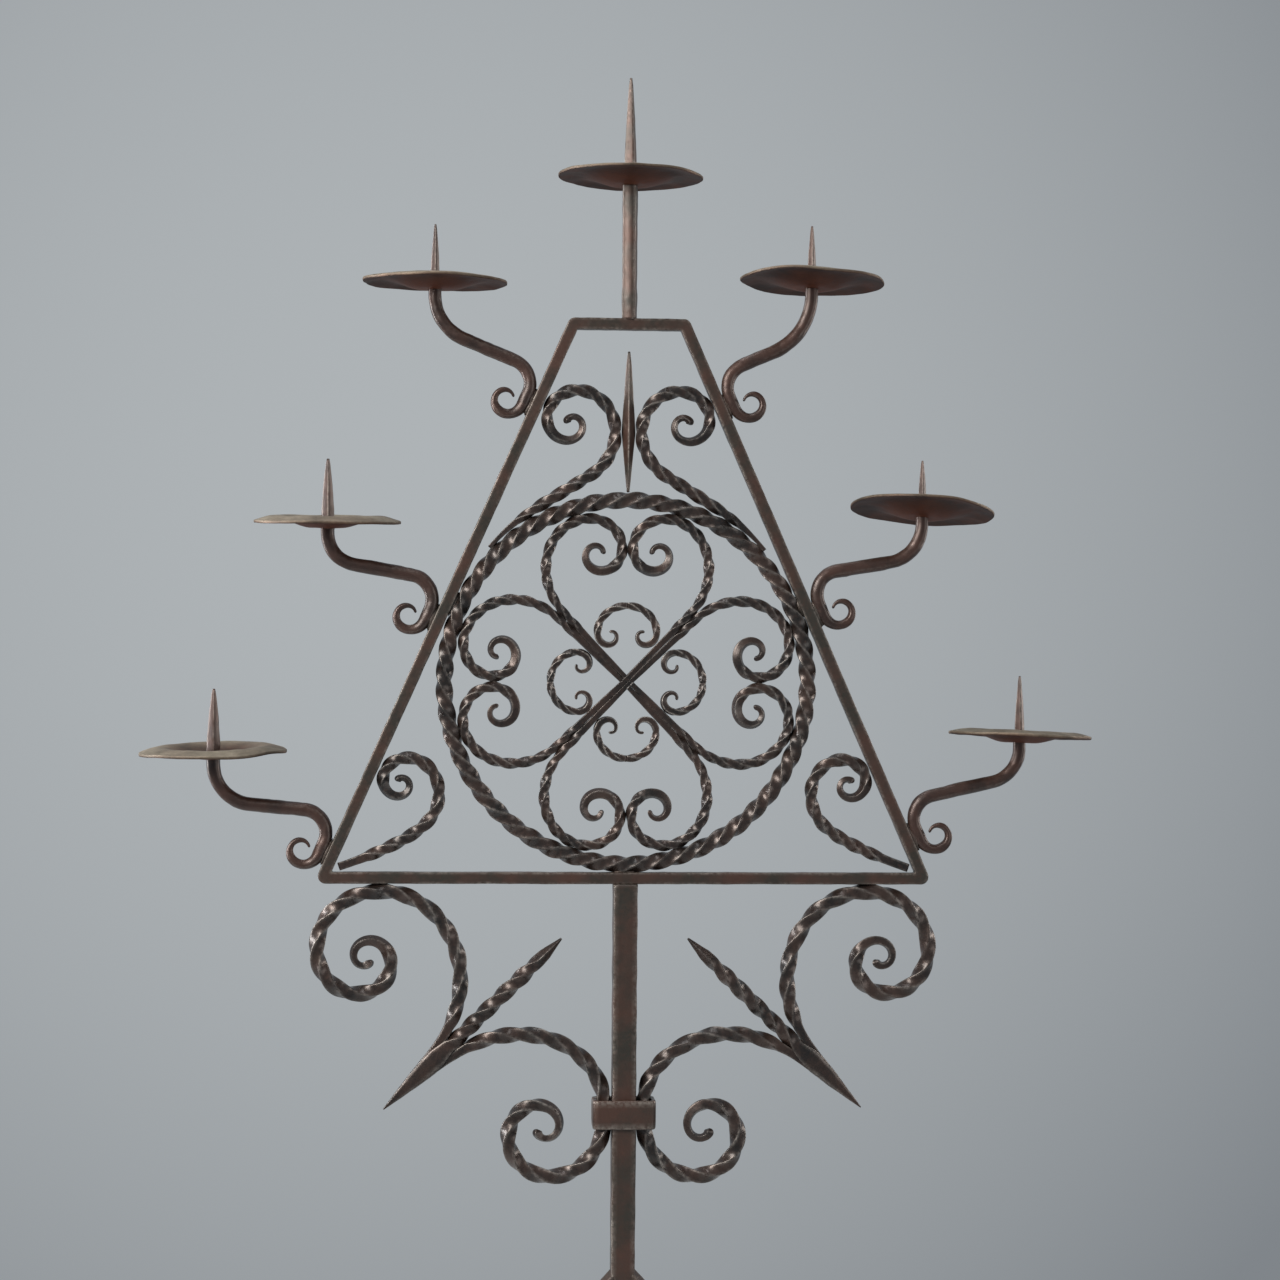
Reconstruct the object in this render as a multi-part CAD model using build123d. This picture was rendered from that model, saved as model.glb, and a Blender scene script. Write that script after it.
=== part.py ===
from build123d import *
import math
import os

# Pricket candle stand: a forged iron stand for seven candles. Millimetres, +Z up, the origin on the
# floor under the stem's axis, +X to the right as the stand faces the viewer, +Y to its back.

# Bar stock: a twisted bar is sized by its mean width across the twist
stem_side = 16.0
frame_bar_side = 8.0
ring_bar_width = 10.0
frame_scroll_width = 8.0
heart_bar_width = 6.8
small_scroll_width = 5.0
bracket_bar_width = 9.4
leg_side = 10.0
arm_diameter = 8.8
rod_diameter = 10.0
weld_gap = 0.25
overrun = 4.0

# Stem and frame
frame_base_height = 587.0
frame_height = 377.0
frame_lean_angle = 23.9
frame_bend_radius = 5.5
stem_edge_radius = 1.5
stem_drop = 80.0
stem_point_length = 34.0
stem_point_share = 0.3
tenon_diameter = 5.0

# Ring
ring_radius = 121.3

# Hearts: two bars run out side by side along each diagonal of the ring and then curl apart
heart_root_width = 3.0
heart_root_distance = 3.6
heart_spine_width = 4.8
heart_widen_share = 0.5
heart_bend_shares = ((126, 0.400, 0.205), (165, 0.205, 0.107), (285, 0.107, 0.034))

# Small scrolls round the crossing, from the top of the arch to one eye
small_apex_share = 0.42
small_bend_shares = ((90, 0.183, 0.127), (90, 0.076, 0.052), (90, 0.048, 0.040), (130, 0.034, 0.018))

# Upper scrolls, from the tail that lies on the ring, and the spindle between them
upper_tail_angle = 44.0
upper_tail_width = 2.6
upper_tail_tilt_angle = 4.0
upper_run_share = 0.388
upper_bend_shares = ((-300, 0.345, 0.122), (-290, 0.122, 0.032))
spindle_width = 9.0
spindle_share = 0.87
spindle_belly_share = 0.42
spindle_point_width = 1.0

# Corner scrolls, from the tail in the frame's lower corner
corner_tail_width = 5.4
corner_tail_inset = 3.0
corner_bend_shares = ((-24, 3.42, 0.267), (-385, 0.267, 0.054), (-170, 0.054, 0.031))

# Brackets under the frame: dart, big scroll and lower scroll meet in an arrow head
arrow_reach_share = 0.771
arrow_drop = 149.5
dart_length = 163.0
dart_angle = 136.0
dart_tip_width = 1.4
dart_point_length = 24.0
arrow_head_length = 62.0
arrow_core_width = 4.4
arrow_tail_width = 2.6
arrow_gap = 0.5
arrow_shoulder = 1.0
bracket_start_share = 0.42
big_spread_angle = 6.0
lower_spread_angle = 5.4
big_run_share = 0.167
big_bend_shares = ((-189, 0.508, 0.248), (-246, 0.248, 0.102), (-300, 0.102, 0.028))
lower_run_share = 0.169
lower_in_shares = ((128.6, 0.623, 0.268),)
lower_out_shares = ((234, 0.293, 0.138), (300, 0.138, 0.034))
lower_stay = 8.0
collar_height = 19.0
collar_thickness = 3.0
collar_play = 0.3
collar_corner_radius = 4.0

# Scrolls are drawn thin at the tail and blunt at the eye, over these shares of their length
tail_share = 0.16
eye_share = 0.20
eye_end_share = 0.62

# Arms: side of the stem, height of the weld as a share of the frame's height, how far out from the frame
# and how far above the weld the pan stands, and the pricket's height, as shares of the three sizes below
arm_span = 70.0
arm_rise = 64.0
pricket_height = 45.0
arm_row_shares = {
    "upper_left": (-1, 0.851, 0.925, 1.141, 0.98),
    "upper_right": (1, 0.849, 0.819, 1.219, 0.96),
    "middle_left": (-1, 0.469, 1.009, 0.906, 1.04),
    "middle_right": (1, 0.483, 1.029, 0.984, 0.89),
    "lower_left": (-1, 0.056, 1.078, 0.953, 1.04),
    "lower_right": (1, 0.085, 1.040, 0.984, 1.02),
}
# Slope of each arm's middle run in degrees, then how far its pan leans to the right and to the back
arm_angle = {
    "upper_left": (22, 0.5, -1.0),
    "upper_right": (24, 2.0, 3.0),
    "middle_left": (10, 0.0, -3.5),
    "middle_right": (10, 5.0, 8.0),
    "lower_left": (5, -1.5, -3.0),
    "lower_right": (13, 2.4, 2.0),
}
arm_weld_run = 8.0
arm_weld_bend = 16.0
arm_curl_angle = 330
arm_curl_radius = 11.8
arm_eye_radius = 5.2
arm_upright = 3.0

# Pans and prickets
pan_diameter = 97.0
pan_sheet = 2.0
pan_well_radius = 13.0
pan_ridge_radius = 36.0
pan_ridge_rise = 6.2
pan_rim_rise = 3.8
pan_droop_angle = 16.0
pan_hole_play = 0.5
top_pan_lean_angle = 0.8
pricket_diameter = 6.4
pricket_tip_diameter = 0.9
pricket_swell_share = 0.55
top_pricket_diameter = 8.4
rod_height = 88.0
top_pricket_height = 72.0

# Legs: three, each arched down from the stem, flat on the floor and curled up at the toe
leg_top_height = 330.0
leg_angle = {"leg_front_right": -25.0, "leg_front_left": 205.0, "leg_back": 90.0}
leg_slope_angle = 42.0
leg_ankle_angle = 75.0
leg_reach = 230.0
leg_sole_length = 30.0
leg_toe_radius = 14.0
leg_toe_angle = 190.0

# How a curved centreline is cut into arcs, in degrees and in steps
arc_angle = 45.0
arc_steps = 8

# Worked out from the sizes above
diagonal = math.sqrt(2)
ring_outer = ring_radius + ring_bar_width / 2
ring_inner = ring_radius - ring_bar_width / 2
ring_height = frame_base_height + frame_bar_side + weld_gap + ring_outer
frame_top_height = frame_base_height + frame_height
lean_sine = math.sin(math.radians(frame_lean_angle))
lean_cosine = math.cos(math.radians(frame_lean_angle))


def frame_edge(height, depth):
    """Distance from the stem's axis to a side bar at a height, so far in from the bar's outer face."""
    away = ring_outer + weld_gap + frame_bar_side - depth
    return (away - (height - ring_height) * lean_sine) / lean_cosine


def straight(length):
    """A straight stretch of a bar's centreline, as one (length, turn) step."""
    return [[(length, 0.0)]]


def bend(turn, radius, end_radius):
    """A bend whose radius changes at a steady rate, cut into arcs; a turn to the left is positive."""
    arcs = math.ceil(abs(turn) / arc_angle)
    steps = arcs * arc_steps
    stretches = []
    for arc in range(arcs):
        stretch = []
        for step in range(arc * arc_steps, (arc + 1) * arc_steps):
            now = radius * (end_radius / radius) ** ((step + 0.5) / steps)
            stretch.append((now * math.radians(abs(turn)) / steps, turn / steps))
        stretches.append(stretch)
    return stretches


def spiral(shares, size):
    """The bends of a scroll, from (turn, radius share, end radius share) rows of a size."""
    stretches = []
    for turn, start_share, end_share in shares:
        stretches += bend(turn, start_share * size, end_share * size)
    return stretches


def trace(x, z, heading, stretches):
    """Stations (x, z, heading, length so far) along a centreline, and where its stretches end."""
    stations = [(x, z, heading, 0.0)]
    cuts = [0]
    travelled = 0.0
    for stretch in stretches:
        for length, turn in stretch:
            middle = math.radians(heading + turn / 2)
            x += length * math.cos(middle)
            z += length * math.sin(middle)
            heading += turn
            travelled += length
            stations.append((x, z, heading, travelled))
        cuts.append(len(stations) - 1)
    return stations, cuts


def solve(miss, low, high):
    """The value between low and high at which miss, which rises, goes through zero."""
    for _ in range(50):
        middle = (low + high) / 2
        if miss(middle) < 0:
            low = middle
        else:
            high = middle
    return (low + high) / 2


def between(knots, place):
    """Reads a value from (place, value) knots by straight lines between them."""
    for (start, first), (end, last) in zip(knots, knots[1:]):
        if place <= end:
            return first + (last - first) * (place - start) / (end - start)
    return knots[-1][1]


def beside(station, away):
    """The point so far to the left of a centreline at one station."""
    angle = math.radians(station[2])
    return (station[0] - away * math.sin(angle), station[1] + away * math.cos(angle))


def flat_bar(path, knots, depth):
    """A bar in the plane of the stand: arcs and lines on both sides of its centreline, then its depth."""
    stations, cuts = path

    def edge(index, side):
        return beside(stations[index], side * between(knots, stations[index][3]) / 2)

    lines = [Line(edge(0, 1), edge(0, -1)), Line(edge(-1, 1), edge(-1, -1))]
    for start, end in zip(cuts, cuts[1:]):
        for side in (1, -1):
            if end - start == 1:
                lines.append(Line(edge(start, side), edge(end, side)))
            else:
                places = (start, (start + end) // 2, end)
                lines.append(ThreePointArc(*(edge(place, side) for place in places)))
    return extrude(Plane.XZ * make_face(lines), amount=depth / 2, both=True)


def scroll_knots(path, width, tail_width):
    """Widths along a scroll: a thin tail, a full middle and a blunt eye."""
    whole = path[0][-1][3]
    return [
        (0.0, tail_width),
        (whole * tail_share, width),
        (whole * (1 - eye_share), width),
        (whole, width * eye_end_share),
    ]


def mirrored(solid):
    """The same piece on the other side of the stem."""
    return mirror(solid, Plane.YZ)


def upright(radius, height):
    """A round bar that stands on the origin."""
    return Cylinder(radius, height, align=(Align.CENTER, Align.CENTER, Align.MIN))


# Frame and stem
def make_frame_bar():
    """One square bar bent into a frame that is drawn in to the top and touches the ring's sides."""

    def outline(depth):
        low = frame_base_height + depth
        high = frame_top_height - depth
        base = frame_edge(low, depth)
        top = frame_edge(high, depth)
        return make_face(Polyline((-base, low), (base, low), (top, high), (-top, high), close=True))

    outer = outline(0)
    outer = fillet(outer.vertices(), frame_bend_radius)
    inner = outline(frame_bar_side)
    frame = extrude(Plane.XZ * (outer - inner), amount=frame_bar_side / 2, both=True)
    hole = upright(tenon_diameter / 2 + weld_gap, frame_bar_side + overrun)
    for height in (frame_base_height, frame_top_height - frame_bar_side):
        frame -= Pos(0, 0, height - overrun / 2) * hole
    return frame


def make_stem():
    """The square stem, with a tenon into the frame's lower bar and a blunt point below the legs."""
    foot = leg_top_height - stem_drop
    tall = frame_base_height - weld_gap - foot
    stem = Pos(0, 0, foot) * Box(stem_side, stem_side, tall, align=(Align.CENTER, Align.CENTER, Align.MIN))
    stem = fillet(stem.edges().filter_by(Axis.Z), stem_edge_radius)
    shoulder_side = stem_side - 2 * stem_edge_radius
    point_side = stem_side * stem_point_share
    squares = [
        (Plane.XY.offset(foot) * Rectangle(shoulder_side, shoulder_side)).face(),
        (Plane.XY.offset(foot - stem_point_length) * Rectangle(point_side, point_side)).face(),
    ]
    tenon = Pos(0, 0, frame_base_height - weld_gap) * upright(tenon_diameter / 2, frame_bar_side + weld_gap)
    return stem + loft(squares, ruled=True) + tenon


# Ring and what fills it
def make_ring():
    """The twisted bar bent to a ring, standing on the frame's lower bar."""
    band = Plane.XZ * (Circle(ring_outer) - Circle(ring_inner))
    return Pos(0, 0, ring_height) * extrude(band, amount=ring_bar_width / 2, both=True)


def heart_path(scale, run):
    """Centreline of one heart bar in its heart's own frame: x across it, z out from the crossing."""

    def along_spine(distance, width):
        out = (width + weld_gap) / 2
        return (distance - out) / diagonal, (distance + out) / diagonal

    x, z = along_spine(heart_root_distance, heart_root_width)
    end_x, end_z = along_spine(run, heart_spine_width)
    heading = math.degrees(math.atan2(end_z - z, end_x - x))
    length = math.hypot(end_x - x, end_z - z)
    return trace(x, z, heading, straight(length) + spiral(heart_bend_shares, scale))


def heart_run(scale):
    """Length of spine with which a heart of this scale just touches the ring's inner side."""

    def reach(run):
        farthest = max(math.hypot(x, z) for x, z, heading, place in heart_path(scale, run)[0])
        return farthest + heart_bar_width / 2 + weld_gap - ring_inner

    return solve(reach, heart_root_distance * 2, ring_radius)


def heart_cross(scale):
    """How far the curl of a heart of this scale reaches past the heart's middle."""
    stations, cuts = heart_path(scale, heart_run(scale))
    nearest = min(x for x, z, heading, place in stations[cuts[2]:])
    return (heart_bar_width + weld_gap) / 2 - nearest


heart_scale = solve(heart_cross, ring_radius / 2, ring_radius * 1.5)


def make_heart_bar():
    """One heart bar: a thin spine from the crossing, then a curl up to its fellow, with a blunt eye."""
    path = heart_path(heart_scale, heart_run(heart_scale))
    whole = path[0][-1][3]
    run = path[0][1][3]
    knots = [
        (0.0, heart_root_width),
        (run, heart_spine_width),
        (whole * heart_widen_share, heart_bar_width),
        (whole * (1 - eye_share), heart_bar_width),
        (whole, heart_bar_width * eye_end_share),
    ]
    return flat_bar(path, knots, heart_bar_width)


def small_path(scale):
    """Centreline of half a small scroll, from the top of its arch to its right eye."""
    turns = [(-turn, first, last) for turn, first, last in small_bend_shares]
    return trace(0.0, small_apex_share * ring_radius, 0.0, spiral(turns, scale))


def small_reach(scale):
    """How far a small scroll of this scale reaches past the heart spine beside it."""
    knots = [(heart_root_distance, heart_root_width), (heart_run(heart_scale), heart_spine_width)]
    clear = 1.5 * weld_gap + small_scroll_width / 2
    return max(
        clear + between(knots, (z + x) / diagonal) - (z - x) / diagonal
        for x, z, heading, place in small_path(scale)[0]
    )


def make_small_scroll():
    """A C scroll with an eye at each end, in its heart's own frame."""
    path = small_path(solve(small_reach, ring_radius / 4, ring_radius * 2))
    whole = path[0][-1][3]
    knots = [
        (0.0, small_scroll_width),
        (whole * (1 - 2 * eye_share), small_scroll_width),
        (whole, small_scroll_width * eye_end_share),
    ]
    half = flat_bar(path, knots, small_scroll_width)
    return half + mirrored(half)


# Spindle and the scrolls between ring and frame
def make_spindle():
    """A double-pointed square pin that stands on the ring, held between the two upper scrolls."""
    foot = ring_height + ring_outer + weld_gap
    length = spindle_share * (frame_top_height - frame_bar_side - foot)
    belly = spindle_width / diagonal
    heights = (foot, foot + length * spindle_belly_share, foot + length)
    sides = (spindle_point_width, belly, spindle_point_width)
    squares = [
        (Plane.XY.offset(height) * Rot(0, 0, 45) * Rectangle(side, side)).face()
        for height, side in zip(heights, sides)
    ]
    return loft(squares, ruled=True)


def upper_path(scale, leave_angle):
    """Right upper scroll: it follows the ring from its tail and leaves it at the given angle."""
    away = ring_outer + weld_gap + upper_tail_width / 2
    angle = math.radians(upper_tail_angle)
    x = away * math.cos(angle)
    z = ring_height + away * math.sin(angle)
    along = bend(leave_angle - upper_tail_angle, away, away)
    runs = along + straight(upper_run_share * scale) + spiral(upper_bend_shares, scale)
    return trace(x, z, upper_tail_angle + 90 - upper_tail_tilt_angle, runs)


def upper_leave(scale):
    """Angle at which an upper scroll of this scale leaves the ring so that it just touches the spindle."""

    def miss(leave_angle):
        nearest = min(x for x, z, heading, place in upper_path(scale, leave_angle)[0])
        return (spindle_width + frame_scroll_width) / 2 + weld_gap - nearest

    return solve(miss, upper_tail_angle + arc_angle / arc_steps, 90.0)


def upper_miss(scale):
    """How far the curl of an upper scroll of this scale passes into the frame's side bar or top bar."""
    stations, cuts = upper_path(scale, upper_leave(scale))
    curl = stations[cuts[-len(spiral(upper_bend_shares, scale))]:]
    beside_bar = min((frame_edge(z, frame_bar_side) - x) * lean_cosine for x, z, heading, place in curl)
    below_bar = min(frame_top_height - frame_bar_side - z for x, z, heading, place in curl)
    return frame_scroll_width / 2 + weld_gap - min(beside_bar, below_bar)


def make_upper_scroll():
    """Right upper scroll, from the ring round past the spindle to its eye beside the frame."""
    scale = solve(upper_miss, ring_radius / 8, ring_radius * 1.5)
    path = upper_path(scale, upper_leave(scale))
    return flat_bar(path, scroll_knots(path, frame_scroll_width, upper_tail_width), frame_scroll_width)


def corner_path(rise):
    """Right corner scroll: its tail leaves the frame's lower corner at the given rise in degrees."""
    z = frame_base_height + frame_bar_side + 2 * weld_gap + corner_tail_width / 2
    x = frame_edge(z, frame_bar_side) - corner_tail_inset
    return trace(x, z, 180 - rise, spiral(corner_bend_shares, ring_radius))


def corner_miss(rise):
    """How far the corner scroll's curl passes into the frame's side bar."""
    stations, cuts = corner_path(rise)
    curl = stations[cuts[3]:]
    room = min((frame_edge(z, frame_bar_side) - x) * lean_cosine for x, z, heading, place in curl)
    return frame_scroll_width / 2 + weld_gap - room


def make_corner_scroll():
    """Right corner scroll, curled against the frame's side bar."""
    path = corner_path(solve(corner_miss, 0.0, 45.0))
    return flat_bar(path, scroll_knots(path, frame_scroll_width, corner_tail_width), frame_scroll_width)


# Brackets under the frame
arrow_tip = (arrow_reach_share * frame_edge(frame_base_height, 0), frame_base_height - arrow_drop)
bracket_start = arrow_head_length * bracket_start_share
arrow_start_width = between([(0.0, dart_tip_width), (arrow_head_length, arrow_core_width)], bracket_start)


def beside_dart(side):
    """Where a bar's thin end lies against the right dart in the arrow head, above it or below it."""
    place = bracket_start + arrow_gap
    angle = math.radians(dart_angle)
    x = arrow_tip[0] + place * math.cos(angle)
    z = arrow_tip[1] + place * math.sin(angle)
    return beside((x, z, dart_angle), side * ((arrow_start_width + arrow_tail_width) / 2 + arrow_gap))


def make_dart():
    """Right dart: a spear tip, a thin core between two other bars, a full bar and a second point."""
    shoulder = arrow_head_length + 2 * bracket_bar_width
    neck = dart_length - dart_point_length
    spear_width = arrow_start_width + 2 * (arrow_tail_width + arrow_gap)
    knots = [
        (0.0, dart_tip_width),
        (bracket_start - arrow_shoulder, spear_width),
        (bracket_start, arrow_start_width),
        (arrow_head_length, arrow_core_width),
        (shoulder, bracket_bar_width),
        (neck, bracket_bar_width),
        (dart_length, dart_tip_width),
    ]
    runs = []
    for (start, first), (end, last) in zip(knots, knots[1:]):
        runs += straight(end - start)
    return flat_bar(trace(*arrow_tip, dart_angle, runs), knots, bracket_bar_width)


def big_path(scale):
    """Right big scroll, from its thin end beside the dart up and over to its eye."""
    runs = straight(big_run_share * scale) + spiral(big_bend_shares, scale)
    return trace(*beside_dart(-1), dart_angle - big_spread_angle, runs)


def big_reach(scale):
    """How far the big scroll reaches into the frame's lower bar."""
    highest = max(z for x, z, heading, place in big_path(scale)[0])
    return highest + bracket_bar_width / 2 + weld_gap - frame_base_height


def make_big_scroll():
    """Right big scroll, hung under the frame's lower bar."""
    path = big_path(solve(big_reach, arrow_drop / 2, arrow_drop * 2))
    return flat_bar(path, scroll_knots(path, bracket_bar_width, arrow_tail_width), bracket_bar_width)


def lower_path(scale):
    """Right lower scroll, from its thin end beside the dart, down the stem and out to its eye."""
    down = straight(lower_run_share * scale) + spiral(lower_in_shares, scale)
    runs = down + straight(lower_stay) + spiral(lower_out_shares, scale)
    return trace(*beside_dart(1), dart_angle + lower_spread_angle, runs)


def lower_miss(scale):
    """How far the lower scroll passes into the stem."""
    nearest = min(x for x, z, heading, place in lower_path(scale)[0])
    return stem_side / 2 + weld_gap + bracket_bar_width / 2 - nearest


lower_scale = solve(lower_miss, arrow_drop / 4, arrow_drop * 2)


def make_lower_scroll():
    """Right lower scroll, tied to the stem by the collar."""
    path = lower_path(lower_scale)
    return flat_bar(path, scroll_knots(path, bracket_bar_width, arrow_tail_width), bracket_bar_width)


def make_collar():
    """A flat band wrapped round the stem and the two lower scrolls."""
    stations, cuts = lower_path(lower_scale)
    stay_top = stations[cuts[1 + len(spiral(lower_in_shares, lower_scale))]][1]
    foot = stay_top - (lower_stay + collar_height) / 2
    inner_width = stem_side + 2 * bracket_bar_width + 4 * weld_gap + 2 * collar_play
    inner_depth = stem_side + 2 * weld_gap
    outer = RectangleRounded(
        inner_width + 2 * collar_thickness, inner_depth + 2 * collar_thickness, collar_corner_radius
    )
    inner = RectangleRounded(inner_width, inner_depth, collar_corner_radius - collar_thickness)
    return Pos(0, 0, foot) * extrude(outer - inner, amount=collar_height)


# Candle places
def make_pan(spike_diameter):
    """A hammered drip pan: a flat floor, sides up to a ridge and a brim that droops to the rim."""
    hole = spike_diameter / 2 + pan_hole_play
    rim = pan_diameter / 2
    droop = (math.cos(math.radians(pan_droop_angle)), -math.sin(math.radians(pan_droop_angle)))
    below = Spline(
        (pan_well_radius, 0),
        (pan_ridge_radius, pan_ridge_rise),
        (rim, pan_rim_rise),
        tangents=((1, 0), droop),
    )
    outline = [
        Line((hole, 0), (pan_well_radius, 0)),
        below,
        Line((rim, pan_rim_rise), (rim, pan_rim_rise + pan_sheet)),
        Pos(0, pan_sheet) * below,
        Line((hole, pan_sheet), (pan_well_radius, pan_sheet)),
        Line((hole, 0), (hole, pan_sheet)),
    ]
    return revolve(Plane.XZ * make_face(outline), Axis.Z)


def lean_pan(pan, right, back):
    """Leans a pan by hand-set angles and lifts it clear of the shoulder under it."""
    lean = math.radians(math.hypot(right, back))
    lift = weld_gap + math.tan(lean) * rod_diameter / 2
    return Pos(0, 0, lift) * Rot(-back, right, 0) * pan


def make_pricket(diameter, height):
    """A spike that swells a little as it tapers to its tip, with a root below the origin."""
    base = diameter / 2
    tip = pricket_tip_diameter / 2
    middle = (base + tip) / 2 + (base - tip) * pricket_swell_share / 2
    outline = [
        Line((0, -overrun), (base, -overrun)),
        Line((base, -overrun), (base, 0)),
        ThreePointArc((base, 0), (middle, height / 2), (tip, height)),
        Line((tip, height), (0, height)),
        Line((0, height), (0, -overrun)),
    ]
    return revolve(Plane.XZ * make_face(outline), Axis.Z)


def arm_weld(row):
    """Height at which an arm is welded to the frame."""
    return frame_base_height + arm_row_shares[row][1] * frame_height


def arm_pan_place(row):
    """Distance from the stem's axis to the middle of an arm's pan, and the height of the arm's shoulder."""
    weld_z = arm_weld(row)
    side, weld_share, span_share, rise_share, pricket_share = arm_row_shares[row]
    return frame_edge(weld_z, 0) + span_share * arm_span, weld_z + rise_share * arm_rise


def arm_runs(row):
    """Weld point of a right-hand arm, its heading there, and its runs up to the pan."""
    weld_z = arm_weld(row)
    pan_x, pan_z = arm_pan_place(row)
    slope_angle = arm_angle[row][0]
    slope = math.radians(slope_angle)
    away = arm_diameter / 2 + weld_gap
    x = frame_edge(weld_z, 0) + away * lean_cosine
    z = weld_z + away * lean_sine
    heading = 90 + frame_lean_angle
    turn_out = straight(arm_weld_run / 2) + bend(slope_angle - heading, arm_weld_bend, arm_weld_bend)
    start = trace(x, z, heading, turn_out)[0][-1]
    run_x = pan_x - start[0]
    run_z = pan_z - arm_upright - start[1]
    spare = math.cos(slope) ** 2 - (1 - math.sin(slope)) * math.sin(slope)
    run = (run_x * math.cos(slope) - (1 - math.sin(slope)) * run_z) / spare
    radius = (run_z * math.cos(slope) - run_x * math.sin(slope)) / spare
    turn_up = bend(90 - slope_angle, radius, radius)
    return x, z, heading, turn_out + straight(run) + turn_up + straight(arm_upright)


def centre_lines(path):
    """The centreline itself, as lines and arcs in the plane of the stand."""
    stations, cuts = path
    lines = []
    for start, end in zip(cuts, cuts[1:]):
        if end - start == 1:
            lines.append(Line(stations[start][:2], stations[end][:2]))
        else:
            places = (start, (start + end) // 2, end)
            lines.append(ThreePointArc(*(stations[place][:2] for place in places)))
    return lines


def reversed_path(path):
    """The same centreline walked from its end."""
    stations, cuts = path
    whole = stations[-1][3]
    back = [(x, z, heading + 180, whole - place) for x, z, heading, place in reversed(stations)]
    return back, [cuts[-1] - cut for cut in reversed(cuts)]


def round_bar(lines, radius):
    """A round bar along a centreline."""
    wire = Plane.XZ * Wire(lines)
    return sweep(Plane(origin=wire @ 0, z_dir=wire % 0) * Circle(radius), wire)


def make_arm(row):
    """A round S-shaped arm with its shoulder and pricket on top and a small curl below."""
    x, z, heading, runs = arm_runs(row)
    outward = trace(x, z, heading, runs)
    back_runs = straight(arm_weld_run / 2) + bend(arm_curl_angle, arm_curl_radius, arm_eye_radius)
    curl = reversed_path(trace(x, z, heading - 180, back_runs))
    top = outward[0][-1]
    side, weld_share, span_share, rise_share, pricket_share = arm_row_shares[row]
    spike = Pos(top[0], 0, top[1]) * make_pricket(pricket_diameter, pricket_share * pricket_height)
    arm = round_bar(centre_lines(curl) + centre_lines(outward), arm_diameter / 2) + spike
    return arm if side > 0 else mirrored(arm)


def make_arm_pan(row):
    """The pan of one arm, on the arm's shoulder."""
    slope, right, back = arm_angle[row]
    pan_x, pan_z = arm_pan_place(row)
    side = arm_row_shares[row][0]
    return Pos(side * pan_x, 0, pan_z) * lean_pan(make_pan(pricket_diameter), right, back)


def make_top_rod():
    """The middle candle's rod: a tenon through the frame's top bar, the rod, and its spike."""
    foot = frame_top_height + weld_gap
    tenon = upright(tenon_diameter / 2, frame_bar_side + weld_gap + overrun)
    tenon = Pos(0, 0, frame_top_height - frame_bar_side) * tenon
    rod = Pos(0, 0, foot) * upright(rod_diameter / 2, rod_height)
    spike = Pos(0, 0, foot + rod_height) * make_pricket(top_pricket_diameter, top_pricket_height)
    return tenon + rod + spike


def make_top_pan():
    """The pan of the middle candle, on the rod's shoulder."""
    place = Pos(0, 0, frame_top_height + weld_gap + rod_height)
    return place * lean_pan(make_pan(top_pricket_diameter), top_pan_lean_angle, 0)


# Legs
def make_leg(angle):
    """A leg in its own plane, arched out from the stem and flat on the floor, turned to its place."""
    slope = math.radians(leg_slope_angle)
    ankle = math.radians(leg_ankle_angle)
    face = stem_side / 2
    start_height = leg_top_height - leg_side / 2 / math.cos(slope)
    out = leg_reach - face
    down = start_height - leg_side / 2
    knee_out = math.sin(ankle) - math.sin(slope)
    knee_down = math.cos(slope) - math.cos(ankle)
    spare = knee_out * (1 - math.cos(ankle)) - math.sin(ankle) * knee_down
    knee_radius = (out * (1 - math.cos(ankle)) - math.sin(ankle) * down) / spare
    ankle_radius = (knee_out * down - knee_down * out) / spare
    root = Line((0, start_height + face * math.tan(slope)), (face, start_height))
    knee = JernArc(root @ 1, root % 1, knee_radius, leg_slope_angle - leg_ankle_angle)
    instep = JernArc(knee @ 1, knee % 1, ankle_radius, leg_ankle_angle)
    sole = Line(instep @ 1, instep @ 1 + (leg_sole_length, 0))
    toe = JernArc(sole @ 1, sole % 1, leg_toe_radius, leg_toe_angle)
    path = Plane.XZ * Wire([root, knee, instep, sole, toe])
    section = Plane(origin=path @ 0, x_dir=(0, 1, 0), z_dir=path % 0) * Rectangle(leg_side, leg_side)
    leg = Rot(0, 0, angle) * sweep(section, path)
    socket = stem_side + 2 * weld_gap
    return leg - Pos(0, 0, start_height) * Box(socket, socket, stem_drop)


nodes = {
    "stem": make_stem(),
    "frame_bar": make_frame_bar(),
    "ring": make_ring(),
    "spindle": make_spindle(),
    "collar": make_collar(),
    "top_rod": make_top_rod(),
    "pan_top": make_top_pan(),
}
for leg, angle in leg_angle.items():
    nodes[leg] = make_leg(angle)
for row in arm_row_shares:
    nodes["arm_" + row] = make_arm(row)
    nodes["pan_" + row] = make_arm_pan(row)
for name, solid in (
    ("upper_scroll", make_upper_scroll()),
    ("corner_scroll", make_corner_scroll()),
    ("big_scroll", make_big_scroll()),
    ("dart", make_dart()),
    ("lower_scroll", make_lower_scroll()),
):
    nodes[name + "_right"] = solid
    nodes[name + "_left"] = mirrored(solid)

heart_bar = make_heart_bar()
small_scroll = make_small_scroll()
for place, turn in (("top", 0), ("right", 90), ("bottom", 180), ("left", 270)):
    swing = Pos(0, 0, ring_height) * Rot(0, turn, 0)
    nodes["heart_" + place + "_first"] = swing * heart_bar
    nodes["heart_" + place + "_second"] = swing * mirrored(heart_bar)
    nodes["small_scroll_" + place] = swing * small_scroll

os.makedirs("parts", exist_ok=True)
for node, solid in nodes.items():
    export_step(solid, "parts/" + node + ".step")
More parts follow.
